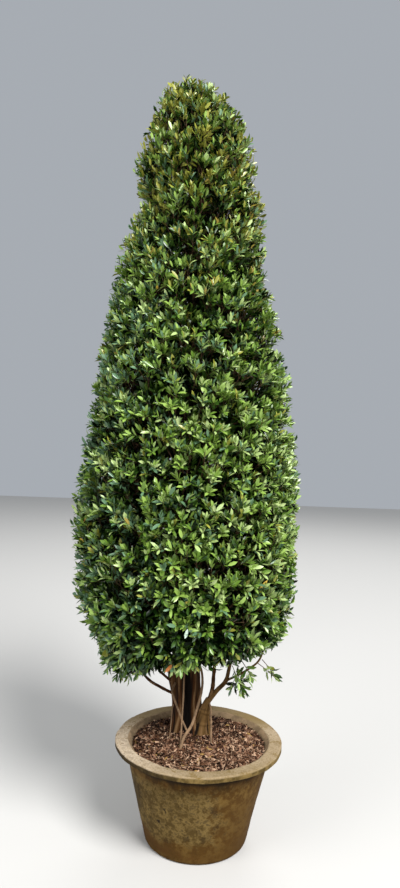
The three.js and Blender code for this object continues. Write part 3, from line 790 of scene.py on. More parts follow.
def limb_shape(name, seed):
    """A closed tapering limb: a tube cut into rings, bent along its route, with knots and ridges."""
    thick, thin, finish, points = LIMBS[name]
    stout = thick > STOUT
    steps = 14 * len(points)
    route = route_through(points, steps)
    tangents = unit(np.gradient(route, axis=0))
    sides = 28 if stout else 16
    shape = bmesh.new()
    lift = Matrix.Translation((0, 0, 0.5))
    bmesh.ops.create_cone(shape, cap_ends=True, segments=sides, radius1=1, radius2=1, depth=1, matrix=lift)
    lengthways = [edge for edge in shape.edges if abs(edge.verts[0].co.z - edge.verts[1].co.z) > 0.5]
    bmesh.ops.subdivide_edges(shape, edges=lengthways, cuts=steps - 2, use_grid_fill=True)
    relief = shape.verts.layers.float.new("relief")
    side_ways = [Vector((1, 0.2, 0)).cross(Vector(tangents[0])).normalized()]
    for tangent in tangents[1:]:
        last = side_ways[-1]
        side_ways.append((last - Vector(tangent) * last.dot(Vector(tangent))).normalized())
    ridges = 0.16 if finish != "root" else 0.07
    streaks = 5 if stout else 1
    for vert in shape.verts:
        ring = min(steps - 1, round(vert.co.z * (steps - 1)))
        angle = math.atan2(vert.co.y, vert.co.x)
        share = ring / (steps - 1)
        around = (math.cos(angle), math.sin(angle), share * steps / 8 / streaks)
        fine = (around[0] * 3 * streaks**0.5, around[1] * 3 * streaks**0.5, around[2] / 3)
        bumps = max(-0.35, hills(around, 1, seed) + 0.6 * hills(fine, 1, seed + 5))
        knot = max(0, hills((0, 0, share * steps / 6), 1, seed + 9)) * 0.25
        tip = 1 - 0.8 * max(0, share / 0.05 - 19) ** 2
        strands = hills((math.cos(angle) * 9, math.sin(angle) * 9, share * 2), 1, seed + 3) * stout
        reach = (thick + (thin - thick) * share) * MM * (1 + ridges * bumps + 0.10 * strands + knot) * tip
        side = side_ways[ring]
        other = Vector(tangents[ring]).cross(side)
        vert.co = Vector(route[ring]) + (side * math.cos(angle) + other * math.sin(angle)) * reach
        vert.co.z = max(vert.co.z, (SOIL_TOP - 3) * MM)
        vert[relief] = 0.5 + 0.5 * bumps * (1 - 0.7 * stout) + 0.40 * strands
    bmesh.ops.recalc_face_normals(shape, faces=shape.faces)
    return shape


# Crown, in metres. Its outline is the part's, as shares of its height and of the belly's radius

CROWN_BOTTOM = 0.640
CROWN_TOP = 2.812
BELLY_RADIUS = 0.418
WAVE = 0.018
UNDERSIDE_TILT = 0.026
CORNER_DROP = 0.045
CORNER_ANGLE = 180
CORNER_WIDTH = 45
TILT_FADE = 9
TIP_LEAN = 0.036
TIP_LEAN_FROM = 2.58
TIP_LEAN_SPAN = 0.24
CROWN_OUTLINE = np.array([
    (0.03, 0.2), (0.004, 0.42), (0.012, 0.67), (0.042, 0.82), (0.101, 0.94), (0.212, 0.995),
    (0.303, 0.965), (0.404, 0.9), (0.505, 0.825), (0.626, 0.705), (0.768, 0.58), (0.85, 0.52),
    (0.9, 0.455), (0.945, 0.355), (0.978, 0.24), (0.996, 0.1), (1, 0.02),
])
# Hollows and swellings: height and half height, angle and half width in degrees, share of the radius
CROWN_SWELLS = [
    (0.666, 0.050, 185, 38, 0.03),
    (0.735, 0.045, 182, 45, -0.085),
    (0.742, 0.055, -8, 38, 0.065),
    (1.795, 0.028, 0, 30, -0.09),
    (2.096, 0.075, 0, 45, -0.07),
    (2.311, 0.055, 0, 40, 0.09),
    (2.318, 0.095, 180, 60, -0.20),
    (2.620, 0.040, 180, 50, -0.07),
]
# How much denser the sprays are at the tip
TIP_DENSITY = 0.35


def outline_at(share):
    """A point of the outline at each share of its run."""
    last = len(CROWN_OUTLINE) - 1
    run = np.clip(share, 0, 1) * last
    index = np.minimum(run.astype(int), last - 1)
    t = (run - index)[:, None]
    p0, p1, p2, p3 = (CROWN_OUTLINE[np.clip(index + k, 0, last)] for k in (-1, 0, 1, 2))
    leave, arrive = (p2 - p0) / 2, (p3 - p1) / 2
    return curve_between(p1, p2, leave, arrive, t)


def crown_section(share, inset):
    """Radius and height of the outline moved inwards by an inset, and the way along it."""
    size = np.array([CROWN_TOP - CROWN_BOTTOM, BELLY_RADIUS])
    point = outline_at(share) * size
    step = (outline_at(share + 1e-3) - outline_at(share - 1e-3)) * size
    along = unit(step)
    radius = np.maximum(point[:, 1] - along[:, 0] * inset, 0.0005)
    return radius, CROWN_BOTTOM + point[:, 0] + along[:, 1] * inset, along


def turned_off(angle, at):
    """How far angles are off a direction, in degrees."""
    return (np.degrees(angle) - at + 180) % 360 - 180


def crown_wave(height, angle):
    """The waves that hand clipping leaves, and the hollows and swellings."""
    swells = 0
    for middle, half, at, width, share in CROWN_SWELLS:
        off = turned_off(angle, at) / width
        swells = swells + share * np.exp(-(((height - middle) / half) ** 2) - off**2)
    height = height / MM
    slow = np.sin(3 * angle + height / 210)
    quick = 0.8 * np.sin(5 * angle - height / 150)
    return 1 + WAVE * (slow + quick + 0.5 * np.cos(height / 70)) + swells


def underside_lift(height, angle):
    """The crown hangs lower on its left, and a corner of it there lower still."""
    above = np.maximum(0, (height - CROWN_BOTTOM) / (CROWN_TOP - CROWN_BOTTOM))
    corner = CORNER_DROP * np.exp(-((turned_off(angle, CORNER_ANGLE) / CORNER_WIDTH) ** 2))
    return (UNDERSIDE_TILT * np.cos(angle) - corner) * np.exp(-above * TILT_FADE)


def near_top(height):
    """From 0 in the body of the crown to 1 in its tip."""
    return np.clip((height - 1.95) / 0.60, 0, 1)


def axis_at(height):
    """The crown's axis, whose tip leans further left than the trunk's."""
    x, y = plant_axis(height / MM)
    above = np.clip((height - TIP_LEAN_FROM) / TIP_LEAN_SPAN, 0, 1.2)
    return x * MM - TIP_LEAN * above * above, y * MM


def crown_place(radius, height, angle):
    """A section's points turned to their angles, with the lift, the waves and the lean."""
    height = height + underside_lift(height, angle)
    reach = radius * crown_wave(height, angle)
    x, y = axis_at(height)
    return np.column_stack([x + reach * np.cos(angle), y + reach * np.sin(angle), height])


def crown_seats(count, inset):
    """Places spread by area along a golden spiral up the outline, and the outward ways there."""
    samples = np.linspace(0, 1, 600)
    radius, height, _ = crown_section(samples, 0)
    slant = np.hypot(np.diff(radius), np.diff(height)) * (radius[1:] + radius[:-1])
    slant *= 1 + TIP_DENSITY * samples[1:] ** 2
    area = np.concatenate([[0], np.cumsum(slant)])
    share = np.interp((np.arange(count) + 0.5) / count * area[-1], area, samples)
    angle = (np.arange(count) * GOLDEN_ANGLE) % TURN
    radius, height, along = crown_section(share, inset)
    outward = np.column_stack([along[:, 0] * np.cos(angle), along[:, 0] * np.sin(angle), -along[:, 1]])
    return crown_place(radius, height, angle), outward


def overshoot(points):
    """How far points are outside the clipped outline. Negative values are inside."""
    x, y = axis_at(points[:, 2])
    across, deep = points[:, 0] - x, points[:, 1] - y
    angle = np.arctan2(deep, across)
    height = points[:, 2] - underside_lift(points[:, 2], angle)
    samples = np.linspace(0.07, 1, 400)
    radii, heights, _ = crown_section(samples, 0)
    limit = np.interp(height, heights, radii) * crown_wave(height, angle)
    sideways = np.hypot(across, deep) - limit
    return np.maximum(sideways, np.maximum(CROWN_BOTTOM - height, height - CROWN_TOP))


# Leaves and twigs as arrays

# A leaf along its length: base, two stations of left, middle and right, tip
LEAF_STATIONS = [(0.32, 0.84), (0.70, 0.90)]
LEAF_POINTS = np.array(
    [(0, 0), *((along, side * wide) for along, wide in LEAF_STATIONS for side in (-1, 0, 1)), (1, 0)]
)
LEAF_TRIANGLES = np.array(
    [(0, 2, 1), (0, 3, 2), (1, 2, 5), (2, 3, 6), (1, 5, 4), (2, 6, 5), (4, 5, 7), (5, 6, 7)]
)
LEAF_MIDDLE = 2
LEAF_TIP = 7


def leaf_arrays(root, way, up, size, rng):
    """Folded, pointed leaves, each with its own width, fold and curl."""
    count = len(root)
    along, across, upper = basis(way, up)
    half_width = size[:, 1] / 2
    fold = half_width * rng.uniform(0.10, 0.55, count)
    curl = size[:, 0] * rng.uniform(-0.06, 0.26, count)
    run, side = LEAF_POINTS[:, 0], LEAF_POINTS[:, 1]
    rise = np.abs(side)[None] * fold[:, None] - (run**2)[None] * curl[:, None]
    ways = (along * size[:, :1], across * half_width[:, None], upper)
    return set_out(root, (run[None], side[None], rise), ways)


def twig_arrays(routes, thick, thin, sides=3):
    """Tapering twigs along routes, an array of count by stations by 3."""
    count, stations = routes.shape[:2]
    tangents = unit(np.gradient(routes, axis=1))
    _, across, upper = basis(tangents, np.array([0.31, 0.17, 0.93]))
    turns = np.arange(sides) * TURN / sides
    ring = np.cos(turns)[:, None] * across[:, :, None] + np.sin(turns)[:, None] * upper[:, :, None]
    radius = thick + (thin - thick) * np.linspace(0, 1, stations)
    points = (routes[:, :, None] + ring * radius[:, None, None]).reshape(-1, 3)
    faces = []
    for station in range(stations - 1):
        for k in range(sides):
            a, b = station * sides + k, station * sides + (k + 1) % sides
            faces += [(a, b, b + sides), (a, b + sides, a + sides)]
    faces += [(0, k + 1, k) for k in range(1, sides - 1)]
    last = (stations - 1) * sides
    faces += [(last, last + k, last + k + 1) for k in range(1, sides - 1)]
    return points, repeat_faces(np.array(faces), count, stations * sides)


def bent_routes(start, via, end, stations):
    """Curves from start to end that are drawn towards a point on their way."""
    t = np.linspace(0, 1, stations)[None, :, None]
    return start[:, None] * (1 - t) ** 2 + via[:, None] * 2 * t * (1 - t) + end[:, None] * t**2


def sideways(way, angle):
    """The sideways direction at an angle round each twig."""
    _, across, upper = basis(way, np.array([0.0, 0.0, 1.0]))
    return across * np.cos(angle)[:, None] + upper * np.sin(angle)[:, None]


# The radius of each kind of twig at its start and at its end
TWIG_RADII = {
    "bough": (0.010, 0.004),
    "branch": (0.0032, 0.0019),
    "spray": (0.0019, 0.0009),
    "fork": (0.0013, 0.0008),
    "shoot": (0.0018, 0.0009),
}
# How far short of the leaves' own limit a twig has to end
TWIG_MARGIN = 0.018


class Foliage:
    """Collects the leaves and twigs of a mass of foliage."""

    def __init__(self, foliage, seed):
        self.size = np.array([foliage.leaf_length, foliage.leaf_width])
        self.rng = np.random.default_rng(seed)
        self.reach = foliage.sprig_reach
        self.points, self.tones, self.twigs = [], [], []

    def leaf_count(self):
        return sum(len(points) for points in self.points)

    def add_leaves(self, start, way, run, first, count, spray, growth=1.0):
        """Leaves set spirally up each twig, closer to it and smaller and fresher near its tip."""
        rng = self.rng
        turn = rng.uniform(0, TURN, len(start))
        for k in range(count):
            share = first + (1 - first) * (k + rng.uniform(0.2, 0.8, len(start))) / count
            ripe = 1 - k / max(count - 1, 1)
            side = sideways(way, turn + k * GOLDEN_ANGLE + rng.normal(0, 0.2, len(start)))
            lean = (0.35 + 0.75 * ripe) * rng.uniform(0.8, 1.2, len(start))
            leaf_way = way + side * lean[:, None] + rng.normal(0, 0.10, way.shape)
            leaf_way[:, 2] += 0.12
            root = start + way * (run * share)[:, None]
            height = np.clip((root[:, 2] - 0.7) / 2.0, 0, 1)
            scale = rng.uniform(0.74, 1.18, len(start)) * (1.04 - 0.19 * height) * growth
            scale = scale * (0.72 + 0.28 * min(1, 1.5 * ripe + 0.2))
            size = self.size * np.column_stack([scale, scale * rng.uniform(0.85, 1.15, len(start))])
            up = way + np.array([0, 0, 0.45]) + rng.normal(0, 0.22, way.shape)
            points = leaf_arrays(root, leaf_way, up, size, rng)
            self.points.append(points)
            self.tones.append(leaf_tones(spray, ripe, points[:, LEAF_MIDDLE], rng))

    def add_twigs(self, kind, routes, sides=3):
        """Twigs along routes. Of more than one, those that end too far out are left off."""
        if len(routes) > 1:
            routes = routes[overshoot(routes[:, -1]) < self.reach - TWIG_MARGIN]
        self.twigs.append(twig_arrays(routes, *TWIG_RADII[kind], sides))


LEAF_TONES = {
    "deep": srgb(6, 20, 2),
    "dark": srgb(46, 74, 20),
    "moss": srgb(92, 122, 42),
    "mid": srgb(129, 157, 70),
    # A bluish-grey tone that paints the sky's sheen on glossy leaves
    "cool": srgb(85, 116, 84),
    "fresh": srgb(153, 174, 106),
    "lime": srgb(158, 175, 113),
    "olive": srgb(134, 136, 52),
    "bronze": srgb(134, 118, 48),
    "yellow": srgb(220, 184, 76),
    "rust": srgb(188, 114, 52),
}
TONE_NAMES = list(LEAF_TONES)
LEAF_ROUGHNESS = 0.34
LEAF_GLOSS = 0.50
DEEP_GLOSS = 0.10

# The chance of each tone for a leaf of an old, a middling and a fresh mood
MOOD_SHARES = np.array(
    [
        [0.47, 0.36, 0.10, 0.02, 0.03, 0.00, 0.00, 0.02, 0.001, 0.000, 0.0000],
        [0.03, 0.15, 0.26, 0.30, 0.13, 0.09, 0.01, 0.03, 0.001, 0.001, 0.0003],
        [0.00, 0.03, 0.14, 0.35, 0.07, 0.31, 0.07, 0.03, 0.001, 0.002, 0.0003],
    ]
)


def leaf_finish(tone):
    """Glossy leaves of one tone. The deepest, in the shade, hardly shine."""
    gloss = DEEP_GLOSS if tone == "deep" else LEAF_GLOSS
    return plain_finish(f"leaf_{tone}", LEAF_TONES[tone], LEAF_ROUGHNESS, gloss)


def leaf_tones(spray, ripe, places, rng):
    """Deals each leaf a tone by its spray's mood and turn, its age and where it grows, with painted shade
    and light.
    """
    mood, turn = spray
    x, _ = axis_at(places[:, 2])
    left = np.clip((x - places[:, 0]) / 0.30, 0, 1)
    right = np.clip((places[:, 0] - x) / 0.30, 0, 1)
    top = near_top(places[:, 2])
    # Leaves deep under the outline get darker tones: partly older leaves, partly painted shade
    depth = np.clip(-overshoot(places) / 0.085, 0, 1)
    level = np.clip(mood + 0.8 * (1 - ripe) + 0.1 - 1.7 * depth, 0, 1.999)
    low = np.floor(level).astype(int)
    part = (level - low)[:, None]
    shares = MOOD_SHARES[low] * (1 - part) + MOOD_SHARES[low + 1] * part
    tinged = np.clip(0.35 + (places[:, 0] - x) / 0.2, 0, 1) * np.clip((places[:, 2] - 1.75) / 0.5, 0, 1)
    # More of some tones by place: a painted sky sheen on the left, fresh tones as painted light on the
    # right, olive at the top and a bronze tinge at the upper right
    more = {
        "cool": 0.30 * left * (1 - top),
        "fresh": 0.08 * right * (1 - depth),
        "olive": 0.85 * top * (1 - depth),
        "bronze": 0.16 * tinged * (1 - depth),
    }
    for tone, share in more.items():
        shares[:, TONE_NAMES.index(tone)] += share
    pick = (turn + rng.normal(0, 0.17, len(places))) % 1 * shares.sum(axis=1)
    return np.minimum((np.cumsum(shares, axis=1) < pick[:, None]).sum(axis=1), len(TONE_NAMES) - 1)


# How far the boughs end under the outline, and the heights between which they leave the trunk
BOUGH_INSET = 0.13
BOUGH_FEET = (0.72, 2.45)
# How much further off a place above a spray counts than one below it
CLIMB = 0.02


def grow_boughs(foliage, mass):
    """Boughs from the trunk towards the outline. Returns places along them that carry the sprays."""
    ends, _ = crown_seats(foliage.boughs, BOUGH_INSET)
    x, y = axis_at(ends[:, 2])
    off_axis = np.hypot(ends[:, 0] - x, ends[:, 1] - y)
    height = np.clip(ends[:, 2] - 0.85 * off_axis, *BOUGH_FEET)
    starts = np.column_stack([*axis_at(height), height])
    via = 0.5 * (starts + ends) - np.array([0, 0, 0.05]) + mass.rng.normal(0, 0.02, starts.shape)
    routes = bent_routes(starts, via, ends, 9)
    mass.add_twigs("bough", routes, 6)
    return routes[:, 3:].reshape(-1, 3)


def nearest_hub(hubs, place):
    """The hub that a spray at a place grows from, which is rather one below it."""
    return hubs[np.argmin(((hubs - place) ** 2).sum(axis=1) + CLIMB * (hubs[:, 2] > place[2]))]


# Where young growth shows, and where shade is painted on the crown's low front and left: the centre, the
# half size and how much fresher it is, or darker where negative
FLUSHES_AND_SHADES = [
    ((-0.11, -0.30, 1.43), (0.05, 0.16, 0.13), 1.2),
    ((0.08, -0.30, 1.30), (0.30, 0.35, 0.40), 0.50),
    # Painted shade on the crown's low front
    ((-0.05, -0.30, 0.72), (0.60, 0.45, 0.25), -1.00),
    ((-0.07, -0.30, 1.60), (0.14, 0.20, 0.22), 0.20),
    # Painted shade on the crown's left
    ((-0.30, -0.10, 1.15), (0.12, 0.20, 0.25), -0.40),
]
# Thin spots of the outer leaves: the centre, the half size and the share of leaves that is missing
THIN_SPOTS = [
    ((0.123, -0.26, 0.868), (0.036, 0.14, 0.031), 0.9),
    ((-0.184, -0.27, 0.905), (0.022, 0.10, 0.024), 0.9),
    ((0.034, -0.32, 1.030), (0.032, 0.10, 0.024), 0.9),
    ((0.050, -0.08, 0.645), (0.075, 0.18, 0.032), 1.0),
]
# How far forward the leaves come
CROWN_FRONT = -0.368


def in_spots(places, spots, sharpness=2, fullness=1.0):
    """What the spots add up to at each place. Sharper ones end sooner, fuller ones have a level middle."""
    total = np.zeros(len(places))
    for centre, half, amount in spots:
        fade = np.exp(-(((places - centre) / half) ** sharpness).sum(axis=1))
        total += amount * np.minimum(fullness * fade, 1)
    return total


# Loose shoots: where each starts, its way, length, leaves and mood, and the size of its leaves if not 1
HANGING_SHOOTS = [
    ((-0.290, 0.030, 0.620), (-0.35, -0.10, -0.85), 0.065, 10, 0.2),
    ((-0.310, 0.045, 0.610), (0.15, -0.20, -0.90), 0.055, 10, 0.3),
    ((-0.270, 0.010, 0.615), (0.10, -0.15, -0.90), 0.050, 9, 0.1),
    ((-0.330, 0.020, 0.640), (-0.30, -0.10, -0.85), 0.055, 9, 0.3),
    ((-0.260, -0.08, 0.685), (-0.10, -0.30, -0.90), 0.060, 9, 0.9),
    ((-0.215, -0.12, 0.680), (-0.10, -0.50, -0.75), 0.055, 8, 1.3),
    ((-0.100, -0.20, 0.720), (0.05, -0.45, -0.55), 0.050, 9, 1.5),
    ((-0.065, -0.22, 0.725), (-0.05, -0.50, -0.45), 0.050, 8, 1.7),
    ((0.110, -0.10, 0.660), (0.25, -0.35, -0.60), 0.060, 9, 0.6),
    ((0.150, -0.04, 0.655), (0.35, -0.30, -0.55), 0.060, 9, 0.9),
    ((0.152, -0.205, 0.740), (0.22, -0.45, 0.75), 0.062, 6, 2.0, 1.45),
    ((0.205, 0.008, 0.640), (0.80, -0.15, -0.60), 0.095, 10, 1.1),
    ((0.225, 0.005, 0.652), (0.62, -0.10, -0.75), 0.080, 9, 0.9),
]
LOW_SPRAY_SHOOTS = [
    ((0.35, -0.15, -0.60), 0.046, 8, 0.6, 1.05),
    ((-0.45, -0.30, -0.45), 0.044, 8, 0.1),
    ((0.10, -0.75, -0.35), 0.040, 8, 0.3),
    ((0.25, 0.65, -0.35), 0.040, 8, 0.1),
    ((0.80, -0.20, 0.15), 0.036, 7, 0.8),
    ((-0.10, -0.25, 0.45), 0.034, 8, 0.2),
    ((0.15, -0.25, -0.95), 0.050, 8, 1.5),
]


def grow_shoot(mass, start, way, run, leaves, mood, scale=1.0):
    """One loose shoot, with leaves all along its outer part."""
    start, way, run = np.array([start], float), unit(np.array([way], float)), np.array([run])
    end = start + way * run[:, None]
    via = (start + end) / 2 + np.array([0, 0, 0.006])
    mass.add_twigs("shoot", bent_routes(start, via, end, 4))
    spray = (np.array([mood]), mass.rng.uniform(0, 1, 1))
    mass.add_leaves(start, way, run, 0.30, leaves, spray, scale)


# The shares of the sprays in the shade and in the core, and how far under the outline each layer is
SHADE_SHARE = 0.34
CORE_SHARE = 0.15
OUTER_DEPTHS = (0.010, 0.034)
SHADE_DEPTHS = (0.052, 0.100)
CORE_DEPTHS = (0.100, 0.205)
# Broader leaves in the core close the crown against the light behind it
CORE_SPREAD = 1.75
SIDE_SHOOTS = 3
# The crown's lumps, as layers of hills
CROWN_LUMPS = [(0.012, 0.15, 0), (0.014, 0.055, 6)]


def grow_crown(foliage, mass):
    """Sprays all over the outline, each on from the nearest bough, with side shoots and leaves."""
    rng = mass.rng
    hubs = grow_boughs(foliage, mass)
    count = foliage.sprays
    layer = rng.uniform(0, 1, count)
    deep, core = layer < SHADE_SHARE, layer < CORE_SHARE
    inset = np.where(deep, rng.uniform(*SHADE_DEPTHS, count), rng.uniform(*OUTER_DEPTHS, count))
    inset = np.where(core, rng.uniform(*CORE_DEPTHS, count), inset)
    seats, outward = crown_seats(count, inset)
    lumps = np.array([hilly(place, CROWN_LUMPS) for place in seats])
    seats = seats + outward * np.minimum(lumps, 0.008)[:, None] + rng.normal(0, 0.008, seats.shape)
    top = near_top(seats[:, 2])
    rise = np.where(outward[:, 2] < -0.3, 0.2, 0.95 + 0.9 * top)
    way = unit(outward + np.array([0, 0, 1]) * rise[:, None] + rng.normal(0, 0.22, outward.shape))
    run = rng.uniform(0.062, 0.098, count)
    starts = seats - way * run[:, None]
    near = np.array([nearest_hub(hubs, start) for start in starts])
    mass.add_twigs("branch", bent_routes(near, starts - way * 0.05, starts, 4))
    mass.add_twigs("spray", bent_routes(starts, (starts + seats) / 2, seats, 3))
    hue = np.array([hills(place, 0.20, 3) for place in seats])
    # Sprays in the shade get older, darker moods: partly painted shade
    mood = 1.05 + 0.9 * hue + rng.normal(0, 0.35, count) - 0.5 * deep - 0.3 * top
    mood += in_spots(seats, FLUSHES_AND_SHADES)
    mood = np.clip(mood, 0, 2)
    spray = (mood, rng.uniform(0, 1, count))
    spread = np.where(core, CORE_SPREAD, 1.0)
    mass.add_leaves(starts, way, run, 0.50, 10, spray, spread)
    for fork in range(SIDE_SHOOTS):
        side = sideways(way, rng.uniform(0, 0.8, count) + fork * TURN / SIDE_SHOOTS)
        fork_way = unit(way + side * rng.uniform(0.70, 1.05, count)[:, None] + np.array([0, 0, 0.25]))
        fork_start = starts + way * (run * (0.25 + 0.17 * fork))[:, None]
        fork_run = run * rng.uniform(0.50, 0.72, count)
        fork_end = fork_start + fork_way * fork_run[:, None]
        mass.add_twigs("fork", bent_routes(fork_start, (fork_start + fork_end) / 2, fork_end, 2))
        mass.add_leaves(fork_start, fork_way, fork_run, 0.40, 8, spray, 0.96 * spread)


# Below this height the leaves keep off the trunk and the limbs, by these distances
CLEAR_BELOW = 0.80
CLEAR_OF_TRUNK = 0.085
CLEAR_OF_LIMBS = 0.014


def clear_of_limbs(points):
    """True for each leaf that stays off the trunk and the limbs."""
    middle = points[:, LEAF_MIDDLE]
    low = middle[:, 2] < CLEAR_BELOW
    x, y = axis_at(middle[:, 2])
    clear = (np.hypot(middle[:, 0] - x, middle[:, 1] - y) > CLEAR_OF_TRUNK) | ~low
    limbs = np.vstack([route_through(route, 30) for *_, route in LIMBS.values()])
    near = np.array([np.min(((limbs - place) ** 2).sum(axis=1)) for place in middle[low]])
    clear[low] &= near > CLEAR_OF_LIMBS**2
    return clear


def add_foliage(mass, prefix, node, twig_tint, keep=None):
    """Makes the pieces of a mass: its leaves, a piece for each tone, and its twigs."""
    points, tones = np.vstack(mass.points), np.concatenate(mass.tones)
    if keep:
        kept = keep(points)
        points, tones = points[kept], tones[kept]
    add_dealt(f"{prefix}_leaves", points, tones, LEAF_TRIANGLES, TONE_NAMES, leaf_finish, "foliage", node)
    offsets = np.cumsum([0, *(len(twigs) for twigs, _ in mass.twigs)])
    faces = np.vstack([faces + offset for (_, faces), offset in zip(mass.twigs, offsets)])
    name = f"{prefix}_twigs"
    mesh = joined_mesh(name, np.vstack([twigs for twigs, _ in mass.twigs]), faces)
    new_piece(name, mesh, plain_finish("twig_bark", twig_tint, 0.8), "bark", node)


# Operators

SENSOR_WIDTH = 36
FLOOR_REACH = 14
SKY_TINT = (0.86, 0.92, 1.0, 1.0)
# The soft lights and the place that they are turned to
LIGHTS = {
    "key_light": ((5.1, -7.3, 10.1), "key", 6.0),
    "fill_light": ((-6.0, -4.2, 4.6), "fill", 5.0),
    "back_light": ((1.6, 7.4, 7.4), "fill", 5.0),
}
LIT_PLACE = Vector((-0.05, 0.03, 1.3))
CROWN_SEED = 20417
LOW_SPRAY_SEED = 77


def link_new(context, name, data):
    """Puts a new object of the stage into the scene."""
    made = bpy.data.objects.new(name, data)
    context.scene.collection.objects.link(made)
    return made


class TOPIARY_OT_add_stage(Operator):
    """Adds the camera at the photograph's viewing angle, the plain floor and the soft lights"""

    bl_idname = "topiary.add_stage"
    bl_label = "Add Stage"

    def execute(self, context):
        stage = context.scene.topiary.stage
        view = bpy.data.cameras.new("camera")
        view.sensor_width = SENSOR_WIDTH
        view.lens = SENSOR_WIDTH * PHOTO_FOCAL_PX / PHOTO_HEIGHT_PX
        camera = link_new(context, "camera", view)
        place = Matrix.Translation((stage.eye_shift, -stage.distance, stage.eye_height))
        level = Matrix.Rotation(math.radians(90), 4, "X")
        camera.matrix_world = place @ level @ Matrix.Rotation(stage.roll, 4, "Z")
        bpy.context.scene.camera = camera

        shape = bmesh.new()
        bmesh.ops.create_grid(shape, x_segments=1, y_segments=1, size=FLOOR_REACH)
        floor = link_new(context, "floor", mesh_from("floor", shape))
        floor.data.materials.append(plain_finish("floor_plain", stage.floor_tint, 0.9))

        context.scene.view_settings.view_transform = "Standard"
        world = bpy.data.worlds.new("studio")
        world.use_nodes = True
        background = world.node_tree.nodes["Background"]
        background.inputs["Color"].default_value = SKY_TINT
        background.inputs["Strength"].default_value = stage.sky
        context.scene.world = world

        for name, (spot, power, size) in LIGHTS.items():
            light = bpy.data.lights.new(name, "AREA")
            light.shape = "DISK"
            light.size = size
            light.energy = getattr(stage, power)
            lamp = link_new(context, name, light)
            turn = (LIT_PLACE - Vector(spot)).to_track_quat("-Z", "Y")
            lamp.matrix_world = Matrix.Translation(spot) @ turn.to_matrix().to_4x4()
        return {"FINISHED"}


class TOPIARY_OT_add_pot(Operator):
    """Adds the hand-cast pot with its wide worn rim"""

    bl_idname = "topiary.add_pot"
    bl_label = "Add Pot"

    def execute(self, context):
        pot = context.scene.topiary.pot
        new_piece("pot_cast", mesh_from("pot_cast", pot_shape(pot)), cement_finish(pot), "cement", "pot")
        return {"FINISHED"}


class TOPIARY_OT_add_soil(Operator):
    """Adds the soil and the dry litter that covers it"""

    bl_idname = "topiary.add_soil"
    bl_label = "Add Soil and Litter"

    def execute(self, context):
        settings = context.scene.topiary
        soil = settings.soil
        mesh = mesh_from("soil_mound", soil_shape(soil, settings.pot))
        new_piece("soil_mound", mesh, soil_finish(soil), "litter", "soil_fill")
        points, tones = litter_arrays(soil)
        add_dealt("litter", points, tones, CHIP_TRIANGLES, CHIP_TONES, chip_finish, "litter", "soil_fill")
        return {"FINISHED"}


class TOPIARY_OT_add_trunk(Operator):
    """Adds the fluted trunk with its fused roots"""

    bl_idname = "topiary.add_trunk"
    bl_label = "Add Trunk"

    def execute(self, context):
        limbs = context.scene.topiary.limbs
        finish = bark_finish("bark_fluted", limbs, limbs.bark_tint, 0.5)
        new_piece("trunk_fluted", mesh_from("trunk_fluted", trunk_shape(limbs)), finish, "bark", "trunk")
        return {"FINISHED"}


class TOPIARY_OT_add_limbs(Operator):
    """Adds the side stem, the low boughs and the aerial roots"""

    bl_idname = "topiary.add_limbs"
    bl_label = "Add Boughs and Roots"

    def execute(self, context):
        limbs = context.scene.topiary.limbs
        finishes = {
            "bark": (bark_finish("bark_bough", limbs, limbs.bark_tint, 0.3), "bark"),
            "olive": (bark_finish("bark_olive", limbs, limbs.moss_tint, 0.9), "bark"),
            "root": (root_finish(limbs), "root"),
        }
        for seed, (name, limb) in enumerate(LIMBS.items()):
            finish, slot = finishes[limb[2]]
            piece = f"{name}_grown"
            new_piece(piece, mesh_from(piece, limb_shape(name, seed)), finish, slot, name)
        return {"FINISHED"}


class TOPIARY_OT_add_crown(Operator):
    """Adds the clipped crown: boughs, sprays, side shoots and leaves"""

    bl_idname = "topiary.add_crown"
    bl_label = "Add Crown"

    def execute(self, context):
        settings = context.scene.topiary
        foliage = settings.foliage
        mass = Foliage(foliage, CROWN_SEED)
        grow_crown(foliage, mass)
        clipped = mass.leaf_count()
        for shoot in HANGING_SHOOTS:
            grow_shoot(mass, *shoot)

        def keep(points):
            inside = overshoot(points[:, LEAF_TIP]) < foliage.sprig_reach
            inside &= points[:, :, 1].min(axis=1) > CROWN_FRONT
            missing = in_spots(points[:, LEAF_MIDDLE], THIN_SPOTS, 4, 1.6)
            inside &= mass.rng.uniform(0, 1, len(points)) > missing
            inside[clipped:] = True
            return inside & clear_of_limbs(points)

        add_foliage(mass, "crown", "crown", settings.limbs.twig_tint, keep)
        return {"FINISHED"}


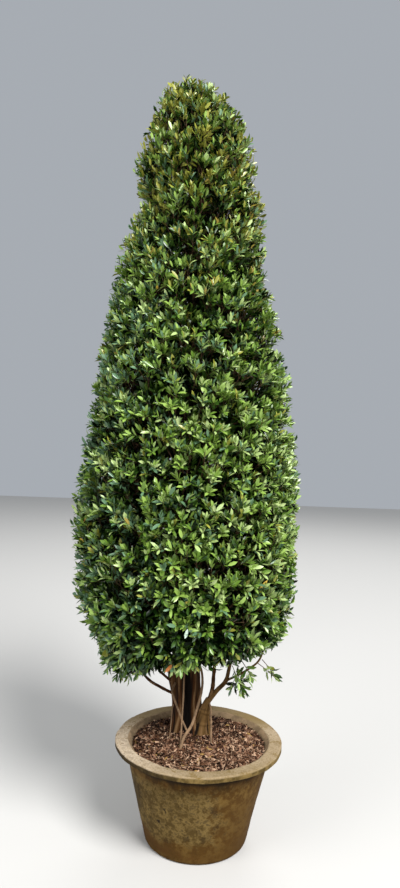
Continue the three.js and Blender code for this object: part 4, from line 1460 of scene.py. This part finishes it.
class TOPIARY_OT_add_low_spray(Operator):
    """Adds the loose spray that hangs under the crown on the right"""

    bl_idname = "topiary.add_low_spray"
    bl_label = "Add Low Spray"

    def execute(self, context):
        settings = context.scene.topiary
        mass = Foliage(settings.foliage, LOW_SPRAY_SEED)
        start = route_through(LIMBS["bough_low_spur"][-1], 12)[-1]
        for shoot in LOW_SPRAY_SHOOTS:
            grow_shoot(mass, start, *shoot)
        add_foliage(mass, "low_spray", "low_spray_right", settings.limbs.twig_tint)
        return {"FINISHED"}


class TOPIARY_PT_sidebar(Panel):
    """Lists the pieces of the topiary and their settings"""

    bl_label = "Topiary"
    bl_idname = "TOPIARY_PT_sidebar"
    bl_space_type = "VIEW_3D"
    bl_region_type = "UI"
    bl_category = "Topiary"

    def draw(self, context):
        settings = context.scene.topiary
        for part in ("pot", "soil", "limbs", "foliage", "stage"):
            group = getattr(settings, part)
            box = self.layout.box()
            box.label(text=part.capitalize())
            for name in group.__annotations__:
                box.prop(group, name)
        for operator in OPERATORS:
            self.layout.operator(operator.bl_idname)


OPERATORS = (
    TOPIARY_OT_add_stage,
    TOPIARY_OT_add_pot,
    TOPIARY_OT_add_soil,
    TOPIARY_OT_add_trunk,
    TOPIARY_OT_add_limbs,
    TOPIARY_OT_add_crown,
    TOPIARY_OT_add_low_spray,
)
GROUPS = (PotSettings, SoilSettings, LimbSettings, FoliageSettings, StageSettings, TopiarySettings)


def register():
    for item in (*GROUPS, *OPERATORS, TOPIARY_PT_sidebar):
        bpy.utils.register_class(item)
    bpy.types.Scene.topiary = PointerProperty(type=TopiarySettings)


def unregister():
    del bpy.types.Scene.topiary
    for item in reversed((*GROUPS, *OPERATORS, TOPIARY_PT_sidebar)):
        bpy.utils.unregister_class(item)


def main():
    register()
    bpy.ops.topiary.add_stage()
    bpy.ops.topiary.add_pot()
    bpy.ops.topiary.add_soil()
    bpy.ops.topiary.add_trunk()
    bpy.ops.topiary.add_limbs()
    bpy.ops.topiary.add_crown()
    bpy.ops.topiary.add_low_spray()


if __name__ == "__main__":
    main()
